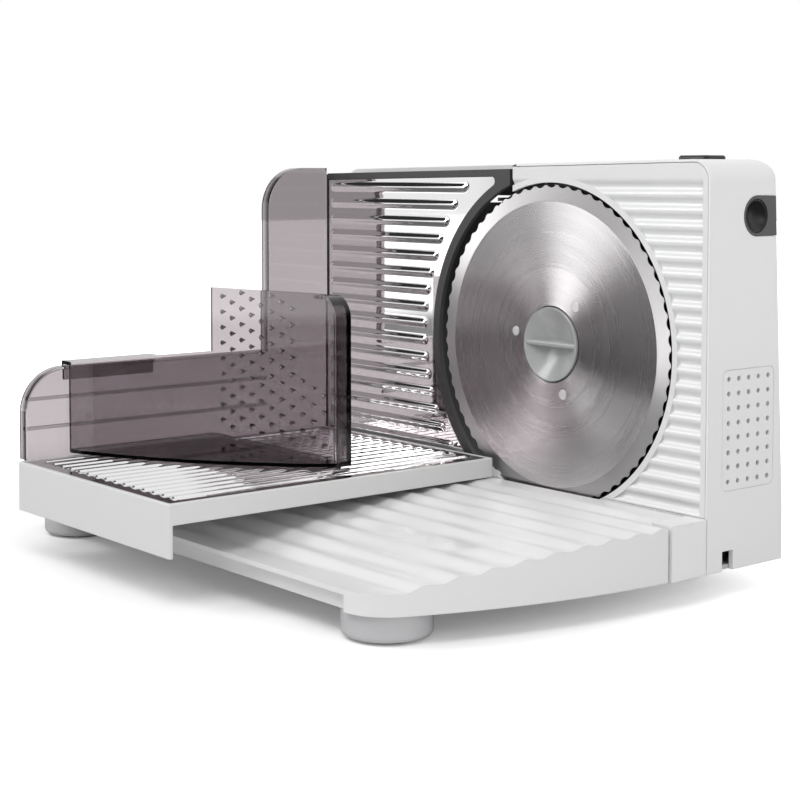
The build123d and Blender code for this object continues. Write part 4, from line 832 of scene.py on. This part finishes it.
# the grip's section, from its root up to its rounded edge and down again, as Z and depth
section = [(-GRIP_HALF * GRIP_FLARE, KNOB_DISH), (-GRIP_HALF, GRIP_DEPTH)]
for i in range(1, GRIP_STEPS):
    angle = math.pi * i / GRIP_STEPS
    section.append((-GRIP_HALF * math.cos(angle), GRIP_DEPTH - GRIP_ROUND * math.sin(angle)))
section += [(GRIP_HALF, GRIP_DEPTH), (GRIP_HALF * GRIP_FLARE, KNOB_DISH)]
start = len(knob_points)
for side in (-1, 1):
    grip_end = blade_centre.x + side * (dish_radius + GRIP_OVERLAP)
    knob_points += [(grip_end, knob_low.y + depth, blade_centre.z + z) for z, depth in section]
size = len(section)
knob_faces += [
    (start + i, start + i + 1, start + size + i + 1, start + size + i) for i in range(size - 1)
]
knob_faces += [
    (start, start + size, start + 2 * size - 1, start + size - 1),
    tuple(start + size - 1 - i for i in range(size)),
    tuple(start + size + i for i in range(size)),
]
knob_cap = made_piece("knob_cap", knob_points, knob_faces, "blade_lock", grey_knob)
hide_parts("blade_lock_knob")

# ---------------------------------------------------------------- studio

PLAIN_LIGHT = 0.50
DIM_ROOM = 0.03
# the card stands upright, at this angle to the X axis
CARD_TURN = math.radians(44.0)
SOFT_BOX = (-0.58, -0.757, 0.30)
SOFT_BOX_LEVEL = 6.0
WHITE = (1.0, 1.0, 1.0, 1.0)


def area_lamp(name, place, target, size, power):
    """A rectangular soft box, aimed at a point."""
    lamp = bpy.data.lights.new(name, "AREA")
    lamp.shape = "RECTANGLE"
    lamp.size, lamp.size_y = size
    lamp.energy = power
    holder = bpy.data.objects.new(name, lamp)
    bpy.context.scene.collection.objects.link(holder)
    holder.location = place
    holder.rotation_euler = (Vector(target) - Vector(place)).to_track_quat("-Z", "Y").to_euler()


area_lamp("key", (-0.87, -1.16, 1.37), (0.05, 0.05, 0.12), (0.7, 0.7), 10.0)
area_lamp("side", (1.9, -0.3, 0.9), (0.05, 0.0, 0.1), (1.0, 1.0), 7.0)
area_lamp("front", (0.45, -0.85, 1.75), (0.0, -0.05, 0.05), (1.3, 0.8), 14.0)


def behind_card(graph, point):
    """How far a point or a direction, given as its parts, lies behind the card."""
    return graph.math(
        "SUBTRACT",
        graph.math("MULTIPLY", point["Y"], math.cos(CARD_TURN)),
        graph.math("MULTIPLY", point["X"], math.sin(CARD_TURN)),
    )


# the room: white to the camera and through the smoky plastic, plain to matt surfaces
world = bpy.data.worlds.new("studio")
bpy.context.scene.world = world
world.use_nodes = True
sky = Graph(world.node_tree)
background = world.node_tree.nodes["Background"]
rays = sky.node("ShaderNodeLightPath").outputs
# polished steel sees the white backdrop behind, a low white card to the front left, a soft box
# and otherwise a dim room
heading = sky.node("ShaderNodeTexCoord").outputs["Generated"]
toward = sky.parts(heading)
backdrop = sky.step(toward["Y"], 0.0, 0.2)
card = sky.all_of(
    sky.step(behind_card(sky, toward), -0.02, 0.04),
    sky.step(toward["X"], 0.0, -0.2),
    sky.step(toward["Z"], 0.24, 0.10),
)
glossy = sky.remap(sky.any_of(backdrop, card), 0.0, 1.0, DIM_ROOM, 1.0)
box = sky.step(sky.vector("DOT_PRODUCT", heading, SOFT_BOX), 0.965, 0.985)
glossy = sky.math("ADD", glossy, sky.math("MULTIPLY", box, SOFT_BOX_LEVEL))
plain = sky.math("ADD", rays["Is Camera Ray"], rays["Is Transmission Ray"], clamp=True)
level = sky.math("MAXIMUM", plain, sky.math("MULTIPLY", rays["Is Glossy Ray"], glossy))
fill = sky.math("MULTIPLY", rays["Is Diffuse Ray"], PLAIN_LIGHT)
sky.link(sky.math("MAXIMUM", level, fill), background.inputs["Strength"])
background.inputs["Color"].default_value = WHITE

# the floor keeps the object's shadow near it, and is plain white further off
FLOOR_REACH = 6.0
FLOOR_LIFT = 0.15
SHADOW_MIDDLE = (-0.08, -0.10, 0.0)
SHADOW_NEAR, SHADOW_FAR = 0.22, 0.50
FLOOR_WHITE = (0.9, 0.9, 0.9)
# steel sees the floor dim within this distance, and anywhere in front of the card
DIM_NEAR, DIM_FAR = 1.4, 1.8
FLOOR_DIM = (0.10, 0.10, 0.10)
floor_mesh = bpy.data.meshes.new("floor")
floor_mesh.from_pydata(
    [
        (-FLOOR_REACH, -FLOOR_REACH, 0.0),
        (FLOOR_REACH, -FLOOR_REACH, 0.0),
        (FLOOR_REACH, FLOOR_REACH, 0.0),
        (-FLOOR_REACH, FLOOR_REACH, 0.0),
    ],
    [],
    [(0, 1, 2, 3)],
)
floor = bpy.data.objects.new("floor", floor_mesh)
bpy.context.scene.collection.objects.link(floor)
ground = Shader("floor")
ground.set(Roughness=0.6)
rays = ground.node("ShaderNodeLightPath").outputs
spot = ground.vector("SUBTRACT", ground.place(), SHADOW_MIDDLE)
away = ground.vector("LENGTH", spot)
mirrored = ground.math("GREATER_THAN", rays["Is Glossy Ray"], rays["Is Transmission Ray"])
dim = ground.all_of(
    mirrored,
    ground.any_of(
        ground.step(away, DIM_FAR, DIM_NEAR),
        ground.step(behind_card(ground, ground.parts(spot)), 0.04, -0.02),
    ),
)
ground.link(ground.mix(dim, FLOOR_WHITE, FLOOR_DIM), ground.surface.inputs["Base Color"])
shown = ground.math("ADD", rays["Is Camera Ray"], rays["Is Glossy Ray"], clamp=True)
shown = ground.math("ADD", shown, rays["Is Transmission Ray"], clamp=True)
whiter = ground.remap(ground.step(away, SHADOW_NEAR, SHADOW_FAR), 0.0, 1.0, FLOOR_LIFT, 1.0)
seen = ground.math("MULTIPLY", shown, whiter)
lift = ground.node("ShaderNodeEmission")
ground.link(
    ground.math("MULTIPLY", seen, ground.math("SUBTRACT", 1.0, dim)), lift.inputs["Strength"]
)
both = ground.node("ShaderNodeAddShader")
ground.link(ground.surface.outputs[0], both.inputs[0])
ground.link(lift.outputs[0], both.inputs[1])
ground.link(both.outputs[0], ground.output.inputs["Surface"])
floor_mesh.materials.append(ground.material)

# ---------------------------------------------------------------- camera

CAMERA_PLACE = (0.79692, -0.61602, 0.23414)
CAMERA_YAW = 50.72
CAMERA_PITCH = 3.5
CAMERA_LENS = 75.78
CAMERA_SHIFT = -0.1552
camera = bpy.data.cameras.new("camera")
camera.sensor_width = 36.0
camera.lens = CAMERA_LENS
camera.shift_y = CAMERA_SHIFT
camera.clip_start = 0.05
camera_holder = bpy.data.objects.new("camera", camera)
bpy.context.scene.collection.objects.link(camera_holder)
camera_holder.location = CAMERA_PLACE
camera_holder.rotation_euler = (
    math.radians(90.0 - CAMERA_PITCH),
    0.0,
    math.radians(CAMERA_YAW),
)
bpy.context.scene.camera = camera_holder
bpy.context.scene.view_settings.view_transform = "Standard"
